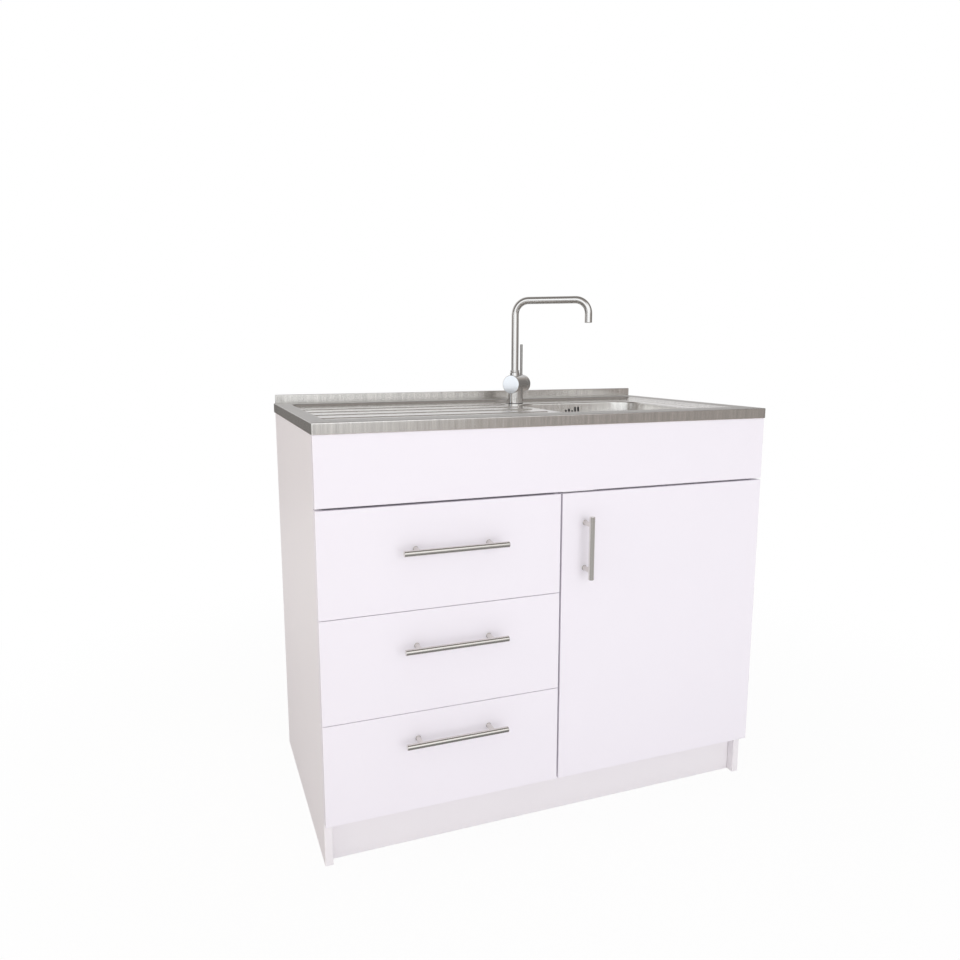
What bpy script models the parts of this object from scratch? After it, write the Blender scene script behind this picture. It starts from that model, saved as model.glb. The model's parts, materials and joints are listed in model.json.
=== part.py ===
"""Base unit with drawers, a door, a lay-on steel sink and a single-lever tap.

Frame: metres, +X right and +Y back seen from the front, +Z up. The origin lies on
the floor under the middle of the whole unit, handles and sink top included.
"""
import math

import bmesh
import bpy
from mathutils import Matrix, Vector

# Whole unit
UNIT_WIDTH = 1.000
CABINET_DEPTH = 0.558
RIM_HEIGHT = 0.880
SKIRT_HEIGHT = 0.0214
SIDE_OVERHANG = 0.002
FRONT_OVERHANG = 0.0023
REAR_OVERHANG = 0.0107

# Clearance between touching pieces, and how far a cutter runs past a face
FIT = 0.0003
OVERRUN = 0.004

# Boards of the carcass
BOARD = 0.016
BOARD_EDGE = 0.0008
BACK_BOARD = 0.003
BACK_INSET = 0.014
BACK_GROOVE = 0.007
PLINTH_HEIGHT = 0.096
PLINTH_SETBACK = 0.0403
RAIL_HEIGHT = 0.100
SPLIT_OFFSET = -0.001
SERVICE_WIDTH = 0.340
SERVICE_HEIGHT = 0.380
SERVICE_ABOVE_BASE = 0.160
SERVICE_CORNER = 0.030

# Fronts
FRONT_BOARD = 0.018
FRONT_EDGE = 0.0012
BUMPER_GAP = 0.0035
WIDE_GAP = 0.004
DRAWER_GAP = 0.0018
FASCIA_HEIGHT = 0.1347

# Bar handles
BAR_RADIUS = 0.006
BAR_STANDOFF = 0.030
POST_RADIUS = 0.005
DRAWER_BAR_LENGTH = 0.212
DRAWER_POST_SPACING = 0.150
DRAWER_BAR_OFFSET = 0.0149
TOP_BAR_DROP = 0.0861
MIDDLE_BAR_DROP = 0.0703
BOTTOM_BAR_DROP = 0.0547
DOOR_BAR_LENGTH = 0.132
DOOR_POST_SPACING = 0.096
DOOR_BAR_INSET = 0.0521
DOOR_BAR_DROP = 0.0457

# Drawer boxes
BOX_BOARD = 0.012
BOX_HEIGHT = 0.120
BOX_REAR_SPACE = 0.0327
BOX_RAISE = 0.028
BOTTOM_BOARD = 0.003
BOTTOM_RISE = 0.010
BOTTOM_GROOVE = 0.006

# Runners: a channel on the carcass, a member with bead rails on the box
RUNNER_SPACE = 0.013
RUNNER_REAR_SPACE = 0.0175
RUNNER_HEIGHT = 0.042
RUNNER_SHEET = 0.0012
RUNNER_LIP = 0.003
RUNNER_RISE = 0.045
RUNNER_SETBACK = 0.002
MEMBER_HEIGHT = 0.032
MEMBER_SHORTER = 0.005
BEAD_RADIUS = 0.0028

# Cup hinges
HINGE_INSET = 0.100
CUP_RADIUS = 0.0175
CUP_EDGE = 0.003
CUP_DEPTH = 0.013
CUP_SHEET = 0.0008
CUP_FLANGE_RADIUS = 0.020
CUP_FLANGE = 0.0008
PIVOT_INSET = 0.007
PIVOT_DEPTH = 0.0085
PIVOT_PIN_RADIUS = 0.0010
KNUCKLE_RADIUS = 0.0020
ARM_SHEET = 0.0018
ARM_HEIGHT = 0.010
ARM_REACH = 0.054
PLATE_THICKNESS = 0.003
PLATE_LENGTH = 0.050
PLATE_HEIGHT = 0.032
PLATE_SETBACK = 0.014

# Sink top
SHEET = 0.0012
RIM_SIDE = 0.035
RIM_FRONT = 0.060
RIM_BACK = 0.050
FIELD_RECESS = 0.0078
FIELD_CORNER = 0.014
FIELD_DRAFT = 0.004
TOP_EDGE = 0.0012
UPSTAND_HEIGHT = 0.0204
UPSTAND_THICKNESS = 0.006
UPSTAND_INSET = 0.004
BOWL_DEPTH = 0.150
BOWL_FROM_DIVIDER = 0.070
BOWL_RIGHT_MARGIN = 0.042
BOWL_FRONT_MARGIN = 0.0255
BOWL_BACK_MARGIN = 0.0775
BOWL_CORNER = 0.060
BOWL_FLOOR_RADIUS = 0.024
BOWL_TAPER = 0.012
RIB_COUNT = 6
RIB_TOP = 0.0064
RIB_HEIGHT = 0.0032
RIB_SLOPE = 1.0
RIB_FRONT_MARGIN = 0.037
RIB_BACK_MARGIN = 0.020
RIB_START = 0.010
RIB_STOP = 0.032
OVERFLOW_PITCH = 0.009
OVERFLOW_SLOT_WIDTH = 0.0036
OVERFLOW_SLOT_HEIGHT = 0.013
OVERFLOW_DROP = 0.018
OVERFLOW_HEIGHT_SHARES = (0.45, 0.65, 0.32, 1.0, 1.0)
FRAME_STRIP = 0.024

# Waste, basket, trap and overflow
WASTE_HOLE_RADIUS = 0.045
WASTE_FLANGE_RADIUS = 0.056
WASTE_FLANGE = 0.0016
WASTE_WALL = 0.002
WASTE_CLEAR = 0.0008
SPIGOT_LENGTH = 0.018
WASTE_CUP_DEPTH = 0.040
WASTE_NUT_RADIUS = 0.052
WASTE_NUT_HEIGHT = 0.010
PIPE_RADIUS = 0.020
PIPE_LENGTH = 0.030
COLLAR_RADIUS = 0.027
COLLAR_HEIGHT = 0.016
BASKET_DEPTH = 0.026
BASKET_SHEET = 0.0012
BASKET_SHOULDER = 0.006
BASKET_CLEAR = 0.001
BASKET_HOLE_RADIUS = 0.0035
BASKET_HOLE_COUNT = 8
BASKET_HOLE_RING = 0.020
BASKET_KNOB_RADIUS = 0.007
BASKET_KNOB_HEIGHT = 0.020
BASKET_STEM_RADIUS = 0.0035
BOTTLE_RADIUS = 0.034
BOTTLE_HEIGHT = 0.110
BOTTLE_NECK = 0.018
BOTTLE_SHOULDER = 0.006
OUTLET_DROP = 0.030
OUTLET_SHORT = 0.004
OUTLET_BORE = 0.050
OVERFLOW_BOX_WIDTH = 0.056
OVERFLOW_BOX_HEIGHT = 0.032
OVERFLOW_BOX_DEPTH = 0.020
OVERFLOW_BOX_WALL = 0.002
OVERFLOW_PIPE_RADIUS = 0.010
OVERFLOW_PIPE_BEND = 0.022

# Tap
TAP_FROM_BOWL_LEFT = 0.019
TAP_BEHIND_BOWL = 0.0248
TAP_HOLE_RADIUS = 0.0175
COLUMN_RADIUS = 0.0215
COLUMN_EDGE = 0.0008
HOUSING_HEIGHT = 0.049
HOUSING_RADIUS = 0.0235
HOUSING_FRONT = 0.021
HOUSING_TURN_DEG = 52.0
KNOB_END = 0.0425
TILT_POINT = 0.010
SPLIT_AT = 0.0271
KNOB_GAP = 0.0005
STEM_WIDTH = 0.006
SPINDLE_RADIUS = 0.008
SPINDLE_END = 0.030
SPINDLE_START = 0.002
THROAT_RADIUS = 0.0112
TILT_PIN_RADIUS = 0.0015
LEVER_RADIUS = 0.0032
LEVER_LENGTH = 0.078
LEVER_AT = 0.0347
LEVER_SEAT = 0.004
SEAT_RADIUS = 0.012
SEAT_HEIGHT = 0.0065
COLLAR_RING_RADIUS = 0.0115
COLLAR_RING_HEIGHT = 0.005
PLUG_RADIUS = 0.0072
PLUG_DEPTH = 0.014
SPOUT_RADIUS = 0.0090
SPOUT_WALL = 0.0012
SPOUT_RISE = 0.2594
SPOUT_REACH = 0.186
SPOUT_DROP = 0.0565
SPOUT_BEND = 0.034
SPOUT_TURN_DEG = 125.7
AERATOR_RADIUS = 0.0068
AERATOR_LENGTH = 0.012
SHANK_RADIUS = 0.016
SHANK_LENGTH = 0.046
NUT_RADIUS = 0.023
NUT_HEIGHT = 0.009
NUT_SIDES = 6

# Facets of the round pieces
ROUND_STEPS = 32
SMALL_STEPS = 20
TINY_STEPS = 12
BEND_STEPS = 8
CORNER_STEPS = 5

# Places that follow from the sizes above
FRONT_Y = (BAR_STANDOFF + BAR_RADIUS - CABINET_DEPTH - REAR_OVERHANG) / 2
CARCASS_TOP = RIM_HEIGHT - SKIRT_HEIGHT - FIT
SINK_HALF = UNIT_WIDTH / 2
HALF_WIDTH = SINK_HALF - SIDE_OVERHANG
INNER_HALF = HALF_WIDTH - BOARD
CARCASS_Y = FRONT_Y + FRONT_BOARD + BUMPER_GAP
REAR_Y = FRONT_Y + CABINET_DEPTH
BACK_Y = REAR_Y - BACK_INSET - BACK_BOARD
BASE_BOTTOM = PLINTH_HEIGHT + FIT
BASE_TOP = BASE_BOTTOM + BOARD
DIVIDER_LEFT = SPLIT_OFFSET - BOARD / 2
DIVIDER_RIGHT = SPLIT_OFFSET + BOARD / 2
FASCIA_BOTTOM = CARCASS_TOP - FASCIA_HEIGHT
FRONTS_TOP = FASCIA_BOTTOM - WIDE_GAP
FRONTS_BOTTOM = PLINTH_HEIGHT
DRAWER_FRONT_HEIGHT = (FRONTS_TOP - FRONTS_BOTTOM - 2 * DRAWER_GAP) / 3
SINK_FRONT_Y = FRONT_Y - FRONT_OVERHANG
SINK_BACK_Y = REAR_Y + REAR_OVERHANG
FIELD_Z = RIM_HEIGHT - FIELD_RECESS
FIELD_LEFT = RIM_SIDE - SINK_HALF
FIELD_RIGHT = SINK_HALF - RIM_SIDE
FIELD_FRONT = SINK_FRONT_Y + RIM_FRONT
FIELD_BACK = SINK_BACK_Y - RIM_BACK
BOWL_RIGHT = FIELD_RIGHT - BOWL_RIGHT_MARGIN
BOWL_LEFT = DIVIDER_RIGHT + BOWL_FROM_DIVIDER
BOWL_BACK = FIELD_BACK - BOWL_BACK_MARGIN
BOWL_FRONT = FIELD_FRONT + BOWL_FRONT_MARGIN
BOWL_X = (BOWL_LEFT + BOWL_RIGHT) / 2
BOWL_Y = (BOWL_FRONT + BOWL_BACK) / 2
BOWL_FLOOR = FIELD_Z - BOWL_DEPTH
TAP_X = BOWL_LEFT + TAP_FROM_BOWL_LEFT
TAP_Y = BOWL_BACK + TAP_BEHIND_BOWL
HOUSING_Z = FIELD_Z + HOUSING_HEIGHT


# Scene and collections

for old in list(bpy.data.objects):
    bpy.data.objects.remove(old, do_unlink=True)

PARTS = bpy.data.collections.new("sink_cabinet")
CUTTERS = bpy.data.collections.new("cutters")
bpy.context.scene.collection.children.link(PARTS)
bpy.context.scene.collection.children.link(CUTTERS)


def make_material(name, colour, roughness, metallic=0.0):
    made = bpy.data.materials.new(name)
    made.use_nodes = True
    shader = made.node_tree.nodes["Principled BSDF"]
    shader.inputs["Base Color"].default_value = (*colour, 1.0)
    shader.inputs["Roughness"].default_value = roughness
    shader.inputs["Metallic"].default_value = metallic
    made.diffuse_color = (*colour, 1.0)
    return made


WHITE_BOARD = make_material("white_board", (0.90, 0.89, 0.92), 0.35)
CARCASS_BOARD = make_material("carcass_board", (0.86, 0.85, 0.85), 0.45)
THIN_BOARD = make_material("thin_board", (0.78, 0.76, 0.73), 0.6)
RUNNER_STEEL = make_material("runner_steel", (0.60, 0.61, 0.63), 0.35, 1.0)
HINGE_STEEL = make_material("hinge_steel", (0.62, 0.62, 0.63), 0.3, 1.0)
SINK_STEEL = make_material("sink_steel", (0.56, 0.55, 0.54), 0.32, 1.0)
HANDLE_STEEL = make_material("handle_steel", (0.55, 0.53, 0.50), 0.28, 1.0)
TAP_STEEL = make_material("tap_steel", (0.58, 0.57, 0.56), 0.2, 1.0)
BRASS = make_material("brass", (0.72, 0.56, 0.30), 0.35, 1.0)
WHITE_PLASTIC = make_material("white_plastic", (0.85, 0.85, 0.84), 0.4)
PACKING_WOOD = make_material("packing_wood", (0.68, 0.55, 0.38), 0.7)


# Modelling helpers

def add_object(name, data, material=None, collection=PARTS):
    made = bpy.data.objects.new(name, data)
    collection.objects.link(made)
    if material:
        data.materials.append(material)
    if collection is CUTTERS:
        made.hide_render = True
        made.display_type = "WIRE"
    return made


def mesh_from(name, work):
    data = bpy.data.meshes.new(name)
    work.to_mesh(data)
    work.free()
    return data


def box(name, low, high, material=None, edge=0.0, collection=PARTS, origin=None):
    """A board or block between two corners, with softened edges."""
    low, high = Vector(low), Vector(high)
    centre = (low + high) / 2
    at = Vector(origin) if origin else centre
    size = high - low
    work = bmesh.new()
    bmesh.ops.create_cube(work, size=1.0)
    bmesh.ops.scale(work, vec=size, verts=work.verts)
    bmesh.ops.translate(work, vec=centre - at, verts=work.verts)
    made = add_object(name, mesh_from(name, work), material, collection)
    made.location = at
    if edge:
        soft = made.modifiers.new("edge", "BEVEL")
        soft.width = edge
        soft.segments = 1
        soft.limit_method = "ANGLE"
    return made


def block(name, low, high, corner, floor_radius=0.0, taper=0.0, steps=CORNER_STEPS):
    """A block with round upright corners. Its foot may be narrower by the taper, or wider by a negative
    one, and have a round bottom edge."""
    low, high = Vector(low), Vector(high)
    centre = (low + high) / 2
    size = high - low
    work = bmesh.new()
    bmesh.ops.create_cube(work, size=1.0)
    bmesh.ops.scale(work, vec=size, verts=work.verts)
    for vert in work.verts:
        if vert.co.z < 0 and taper:
            vert.co.x -= taper * math.copysign(1.0, vert.co.x)
            vert.co.y -= taper * math.copysign(1.0, vert.co.y)
    upright = [edge for edge in work.edges
               if abs(edge.verts[0].co.z - edge.verts[1].co.z) > size.z / 2]
    bmesh.ops.bevel(work, geom=upright, offset=corner, segments=steps, profile=0.5, affect="EDGES")
    if floor_radius:
        lowest = [edge for edge in work.edges
                  if max(vert.co.z for vert in edge.verts) < -size.z / 2 + FIT]
        bmesh.ops.bevel(work, geom=lowest, offset=floor_radius, segments=steps, profile=0.5,
                        affect="EDGES")
    made = add_object(name, mesh_from(name, work), None, CUTTERS)
    made.location = centre
    smooth(made)
    return made


def smooth(thing, angle_deg=40.0):
    thing.data.shade_smooth()
    thing.data.set_sharp_from_angle(angle=math.radians(angle_deg))


def cylinder(name, radius, start, end, material=None, collection=PARTS, steps=SMALL_STEPS, origin=None):
    """A round bar between two points."""
    start, end = Vector(start), Vector(end)
    run = end - start
    at = Vector(origin) if origin else start
    work = bmesh.new()
    bmesh.ops.create_cone(work, cap_ends=True, segments=steps, radius1=radius, radius2=radius,
                          depth=run.length)
    turn = run.to_track_quat("Z", "Y").to_matrix().to_4x4()
    bmesh.ops.transform(work, matrix=Matrix.Translation((start + end) / 2 - at) @ turn, verts=work.verts)
    made = add_object(name, mesh_from(name, work), material, collection)
    made.location = at
    smooth(made)
    return made


def turned(name, profile, location, direction=(0, 0, 1), material=None, steps=ROUND_STEPS):
    """A turned piece from radius and height pairs that run down its outer side. It closes on itself,
    or starts and ends on the axis."""
    work = bmesh.new()
    verts = [work.verts.new((radius, 0.0, height)) for radius, height in profile]
    for first, second in zip(verts, verts[1:]):
        work.edges.new((first, second))
    if profile[0][0] > 0:
        work.edges.new((verts[-1], verts[0]))
    made = add_object(name, mesh_from(name, work), material)
    made.location = location
    made.rotation_euler = Vector(direction).to_track_quat("Z", "Y").to_euler()
    spin = made.modifiers.new("spin", "SCREW")
    spin.axis = "Z"
    spin.steps = steps
    spin.render_steps = steps
    spin.use_merge_vertices = True
    spin.merge_threshold = 0.00001
    spin.use_smooth_shade = True
    return made


def outline(name, loops, thickness, location, turn=(0, 0, 0), material=None, collection=PARTS):
    """A flat outline with its holes, extruded to a thickness about its own plane, as a mesh."""
    data = bpy.data.curves.new(name, "CURVE")
    data.dimensions = "2D"
    data.fill_mode = "BOTH"
    data.extrude = thickness / 2
    for loop in loops:
        spline = data.splines.new("POLY")
        spline.points.add(len(loop) - 1)
        for point, (across, along) in zip(spline.points, loop):
            point.co = (across, along, 0.0, 1.0)
        spline.use_cyclic_u = True
    made = add_object(name, data, material, collection)
    made.location = location
    made.rotation_euler = turn
    return as_mesh(made)


def tube(name, points, radius, material=None, collection=PARTS, resolution=4, origin=None):
    """A round tube along a route of points, with its ends filled, as a mesh."""
    at = Vector(origin) if origin else Vector(points[0])
    data = bpy.data.curves.new(name, "CURVE")
    data.dimensions = "3D"
    data.bevel_depth = radius
    data.bevel_resolution = resolution
    data.use_fill_caps = True
    spline = data.splines.new("POLY")
    spline.points.add(len(points) - 1)
    for point, where in zip(spline.points, points):
        point.co = (*(Vector(where) - at), 1.0)
    made = add_object(name, data, material, collection)
    made.location = at
    return as_mesh(made)


def as_mesh(curve):
    """The curve's evaluated shape as a closed mesh under the same name and place."""
    bpy.context.view_layer.update()
    graph = bpy.context.evaluated_depsgraph_get()
    data = bpy.data.meshes.new_from_object(curve.evaluated_get(graph))
    work = bmesh.new()
    work.from_mesh(data)
    bmesh.ops.remove_doubles(work, verts=work.verts, dist=0.00001)
    bmesh.ops.recalc_face_normals(work, faces=work.faces)
    work.to_mesh(data)
    work.free()
    name = curve.name
    place = curve.matrix_world.copy()
    collection = curve.users_collection[0]
    source = curve.data
    bpy.data.objects.remove(curve, do_unlink=True)
    bpy.data.curves.remove(source)
    data.name = name
    made = add_object(name, data, None, collection)
    made.matrix_world = place
    smooth(made)
    return made


def combine(target, other, operation):
    step = target.modifiers.new(other.name, "BOOLEAN")
    step.operation = operation
    step.solver = "EXACT"
    step.object = other
    return target


def cut(target, *cutters):
    for cutter in cutters:
        combine(target, cutter, "DIFFERENCE")
    return target


def join(target, *others):
    for other in others:
        combine(target, other, "UNION")
    return target


def arc(centre, start, end, turn, steps=BEND_STEPS):
    """Points from start round the centre by turn radians about the axis square to both arms."""
    centre, start, end = Vector(centre), Vector(start), Vector(end)
    axis = (start - centre).cross(end - centre).normalized()
    return [centre + Matrix.Rotation(turn * step / steps, 3, axis) @ (start - centre)
            for step in range(steps + 1)]


def axis_empty(name, location, children):
    """The empty that carries a moving body, on its joint's axis."""
    made = bpy.data.objects.new(name, None)
    PARTS.objects.link(made)
    made.location = location
    made.empty_display_size = BOARD
    bpy.context.view_layer.update()
    for child in children:
        child.parent = made
        child.matrix_parent_inverse = made.matrix_world.inverted()
    return made


# Carcass

def side_panel(name, sign):
    outer, inner = sign * HALF_WIDTH, sign * INNER_HALF
    panel = box(name, (min(outer, inner), CARCASS_Y, 0.0), (max(outer, inner), REAR_Y, CARCASS_TOP),
                CARCASS_BOARD, BOARD_EDGE)
    groove_in = inner + sign * BACK_GROOVE
    groove = box(name + "_groove", (min(groove_in, inner - sign * OVERRUN), BACK_Y - FIT, BASE_BOTTOM),
                 (max(groove_in, inner - sign * OVERRUN), BACK_Y + BACK_BOARD + FIT, CARCASS_TOP + OVERRUN),
                 collection=CUTTERS)
    return cut(panel, groove)


side_panel_left = side_panel("side_panel_left", -1)
side_panel_right = side_panel("side_panel_right", 1)

plinth_board = box("plinth_board", (-INNER_HALF + FIT, FRONT_Y + PLINTH_SETBACK, 0.0),
                   (INNER_HALF - FIT, FRONT_Y + PLINTH_SETBACK + BOARD, PLINTH_HEIGHT),
                   CARCASS_BOARD, BOARD_EDGE)

base_panel = box("base_panel", (-INNER_HALF + FIT, CARCASS_Y, BASE_BOTTOM),
                 (INNER_HALF - FIT, BACK_Y - FIT, BASE_TOP), CARCASS_BOARD, BOARD_EDGE)

RAIL_BOTTOM = CARCASS_TOP - RAIL_HEIGHT
top_rail_front = box("top_rail_front", (-INNER_HALF + FIT, CARCASS_Y, RAIL_BOTTOM),
                     (INNER_HALF - FIT, CARCASS_Y + BOARD, CARCASS_TOP), CARCASS_BOARD, BOARD_EDGE)
top_rail_rear = box("top_rail_rear", (-INNER_HALF + FIT, BACK_Y - FIT - BOARD, RAIL_BOTTOM),
                    (INNER_HALF - FIT, BACK_Y - FIT, CARCASS_TOP), CARCASS_BOARD, BOARD_EDGE)

divider_panel = box("divider_panel", (DIVIDER_LEFT, CARCASS_Y, BASE_TOP + FIT),
                    (DIVIDER_RIGHT, BACK_Y - FIT, CARCASS_TOP), CARCASS_BOARD, BOARD_EDGE)
front_notch = box("divider_front_notch",
                  (DIVIDER_LEFT - OVERRUN, CARCASS_Y - OVERRUN, RAIL_BOTTOM - FIT),
                  (DIVIDER_RIGHT + OVERRUN, CARCASS_Y + BOARD + FIT, CARCASS_TOP + OVERRUN),
                  collection=CUTTERS)
rear_notch = box("divider_rear_notch",
                 (DIVIDER_LEFT - OVERRUN, BACK_Y - FIT - BOARD - FIT, RAIL_BOTTOM - FIT),
                 (DIVIDER_RIGHT + OVERRUN, BACK_Y + OVERRUN, CARCASS_TOP + OVERRUN),
                 collection=CUTTERS)
cut(divider_panel, front_notch, rear_notch)

back_panel = box("back_panel", (-INNER_HALF - BACK_GROOVE + FIT, BACK_Y, BASE_BOTTOM + FIT),
                 (INNER_HALF + BACK_GROOVE - FIT, BACK_Y + BACK_BOARD, CARCASS_TOP), THIN_BOARD)
BAY_X = (DIVIDER_RIGHT + INNER_HALF) / 2
SERVICE_BOTTOM = BASE_TOP + SERVICE_ABOVE_BASE
service = box("service_cut_out", (BAY_X - SERVICE_WIDTH / 2, BACK_Y - OVERRUN, SERVICE_BOTTOM),
              (BAY_X + SERVICE_WIDTH / 2, BACK_Y + BACK_BOARD + OVERRUN, SERVICE_BOTTOM + SERVICE_HEIGHT),
              collection=CUTTERS)
service_corner = service.modifiers.new("corner", "BEVEL")
service_corner.width = SERVICE_CORNER
service_corner.segments = CORNER_STEPS
service_corner.limit_method = "WEIGHT"
weights = service.data.attributes.new("bevel_weight_edge", "FLOAT", "EDGE")
for edge in service.data.edges:
    ends = [service.data.vertices[index].co for index in edge.vertices]
    weights.data[edge.index].value = 1.0 if abs(ends[0].y - ends[1].y) > BACK_BOARD else 0.0
cut(back_panel, service)


# Fronts

def front(name, left, right, bottom, top, material=WHITE_BOARD):
    return box(name, (left, FRONT_Y, bottom), (right, FRONT_Y + FRONT_BOARD, top), material, FRONT_EDGE)


fascia_panel = front("fascia_panel", -HALF_WIDTH, HALF_WIDTH, FASCIA_BOTTOM, CARCASS_TOP)
DRAWERS_RIGHT = SPLIT_OFFSET - WIDE_GAP / 2
DOOR_LEFT = SPLIT_OFFSET + WIDE_GAP / 2


def bar_handle(name, centre, along, length, spacing):
    """A bar on two posts in front of a face; along is the bar's direction."""
    centre, along = Vector(centre), Vector(along)
    out = Vector((0, -BAR_STANDOFF, 0))
    bar = cylinder(name, BAR_RADIUS, centre + out - along * length / 2, centre + out + along * length / 2,
                   HANDLE_STEEL, steps=SMALL_STEPS, origin=centre)
    for side in (-1, 1):
        foot = centre + along * side * spacing / 2
        post = cylinder(name + ("_post_a" if side < 0 else "_post_b"), POST_RADIUS,
                        foot + Vector((0, -FIT, 0)), foot + out, steps=TINY_STEPS, collection=CUTTERS)
        join(bar, post)
    return bar


# Runners: outlines in the X-Z plane, extruded along Y

def channel_outline(sign):
    """The carcass member: an upright web with two flanges and their lips, opening away from its panel."""
    half = RUNNER_HEIGHT / 2
    sheet = RUNNER_SHEET
    depth = RUNNER_SPACE - FIT - RUNNER_SHEET - FIT
    lip = half - sheet - RUNNER_LIP
    upper = [(0.0, half), (depth, half), (depth, lip), (depth - sheet, lip), (depth - sheet, half - sheet),
             (sheet, half - sheet)]
    lower = [(across, -up) for across, up in reversed(upper)]
    return [(sign * across, up) for across, up in upper + lower]


def member_outline(sign):
    """The box member: an upright web, two flanges and a bead rail on each, seen from the box side."""
    half = MEMBER_HEIGHT / 2
    sheet = RUNNER_SHEET
    reach = RUNNER_SPACE - FIT - RUNNER_SHEET - FIT - FIT
    bead_centre = reach - BEAD_RADIUS - RUNNER_SHEET
    bead_top = RUNNER_HEIGHT / 2 - sheet - FIT
    rise = bead_top - half
    side = BEAD_RADIUS
    crown = BEAD_RADIUS / 2
    upper = [(0.0, half), (bead_centre - side, half), (bead_centre - crown, half + rise),
             (bead_centre + crown, half + rise), (bead_centre + side, half), (reach, half),
             (reach, half - sheet), (sheet, half - sheet)]
    lower = [(across, -up) for across, up in reversed(upper)]
    return [(sign * across, up) for across, up in upper + lower]


UPRIGHT = (math.pi / 2, 0.0, 0.0)
RUNNER_FRONT_Y = CARCASS_Y + RUNNER_SETBACK
RUNNER_LENGTH = BACK_Y - RUNNER_REAR_SPACE - RUNNER_FRONT_Y
BAY_LEFT = -INNER_HALF
BOX_LEFT = BAY_LEFT + RUNNER_SPACE
BOX_RIGHT = DIVIDER_LEFT - RUNNER_SPACE
BOX_Y = FRONT_Y + FRONT_BOARD + FIT
BOX_LENGTH = BACK_Y - BOX_REAR_SPACE - BOX_Y


def drawer(label, bottom, bar_drop):
    """One drawer: front, handle, four-board box and its runner members, plus the carcass channels."""
    top = bottom + DRAWER_FRONT_HEIGHT
    face = front("drawer_front_" + label, -HALF_WIDTH, DRAWERS_RIGHT, bottom, top)
    middle = (-HALF_WIDTH + DRAWERS_RIGHT) / 2 + DRAWER_BAR_OFFSET
    bar = bar_handle("drawer_handle_" + label, (middle, FRONT_Y, top - bar_drop), (1, 0, 0),
                     DRAWER_BAR_LENGTH, DRAWER_POST_SPACING)
    low = bottom + BOX_RAISE
    high = low + BOX_HEIGHT
    floor = low + BOTTOM_RISE
    rear = BOX_Y + BOX_LENGTH
    pieces = [face, bar]
    for side, left in (("left", BOX_LEFT), ("right", BOX_RIGHT - BOX_BOARD)):
        board = box("drawer_side_" + side + "_" + label, (left, BOX_Y, low),
                    (left + BOX_BOARD, rear, high), CARCASS_BOARD, BOARD_EDGE)
        inner = left + BOX_BOARD if side == "left" else left
        way = 1 if side == "left" else -1
        slot = box(board.name + "_groove",
                   (min(inner - way * BOTTOM_GROOVE, inner + way * OVERRUN), BOX_Y - OVERRUN, floor - FIT),
                   (max(inner - way * BOTTOM_GROOVE, inner + way * OVERRUN), rear + OVERRUN,
                    floor + BOTTOM_BOARD + FIT), collection=CUTTERS)
        pieces.append(cut(board, slot))
    inner_left, inner_right = BOX_LEFT + BOX_BOARD, BOX_RIGHT - BOX_BOARD
    pieces.append(box("drawer_back_" + label,
                      (inner_left + FIT, rear - BOX_BOARD, floor + BOTTOM_BOARD + FIT),
                      (inner_right - FIT, rear, high), CARCASS_BOARD, BOARD_EDGE))
    pieces.append(box("drawer_bottom_" + label, (inner_left - BOTTOM_GROOVE + FIT, BOX_Y, floor),
                      (inner_right + BOTTOM_GROOVE - FIT, rear, floor + BOTTOM_BOARD), THIN_BOARD))
    centre_z = low + RUNNER_RISE
    member_length = BOX_LENGTH - MEMBER_SHORTER
    channel_y = RUNNER_FRONT_Y + RUNNER_LENGTH / 2
    member_y = RUNNER_FRONT_Y + RUNNER_SHEET + member_length / 2
    sides = (("left", 1, BAY_LEFT, BOX_LEFT), ("right", -1, DIVIDER_LEFT, BOX_RIGHT))
    for side, sign, panel, board in sides:
        outline("runner_channel_" + side + "_" + label, [channel_outline(sign)], RUNNER_LENGTH,
                (panel + sign * FIT, channel_y, centre_z), UPRIGHT, RUNNER_STEEL)
        pieces.append(outline("runner_member_" + side + "_" + label, [member_outline(-sign)],
                              member_length, (board - sign * FIT, member_y, centre_z), UPRIGHT,
                              RUNNER_STEEL))
    axis_empty("drawer_slide_" + label, (middle, FRONT_Y, centre_z), pieces)


drawer("bottom", FRONTS_BOTTOM, BOTTOM_BAR_DROP)
drawer("middle", FRONTS_BOTTOM + DRAWER_FRONT_HEIGHT + DRAWER_GAP, MIDDLE_BAR_DROP)
drawer("top", FRONTS_BOTTOM + (DRAWER_FRONT_HEIGHT + DRAWER_GAP) * 2, TOP_BAR_DROP)


# Door and its hinges

door_panel = front("door_panel", DOOR_LEFT, HALF_WIDTH, FRONTS_BOTTOM, FRONTS_TOP)
door_bar_z = FRONTS_TOP - DOOR_BAR_DROP - DOOR_BAR_LENGTH / 2
door_handle = bar_handle("door_handle", (DOOR_LEFT + DOOR_BAR_INSET, FRONT_Y, door_bar_z),
                         (0, 0, 1), DOOR_BAR_LENGTH, DOOR_POST_SPACING)

DOOR_BACK_Y = FRONT_Y + FRONT_BOARD
CUP_X = HALF_WIDTH - CUP_EDGE - CUP_RADIUS
PIVOT_X = HALF_WIDTH - PIVOT_INSET
PIVOT_Y = FRONT_Y + PIVOT_DEPTH
CUP_FLOOR = DOOR_BACK_Y - CUP_DEPTH
ARM_X = INNER_HALF - FIT - PLATE_THICKNESS - FIT


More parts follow.
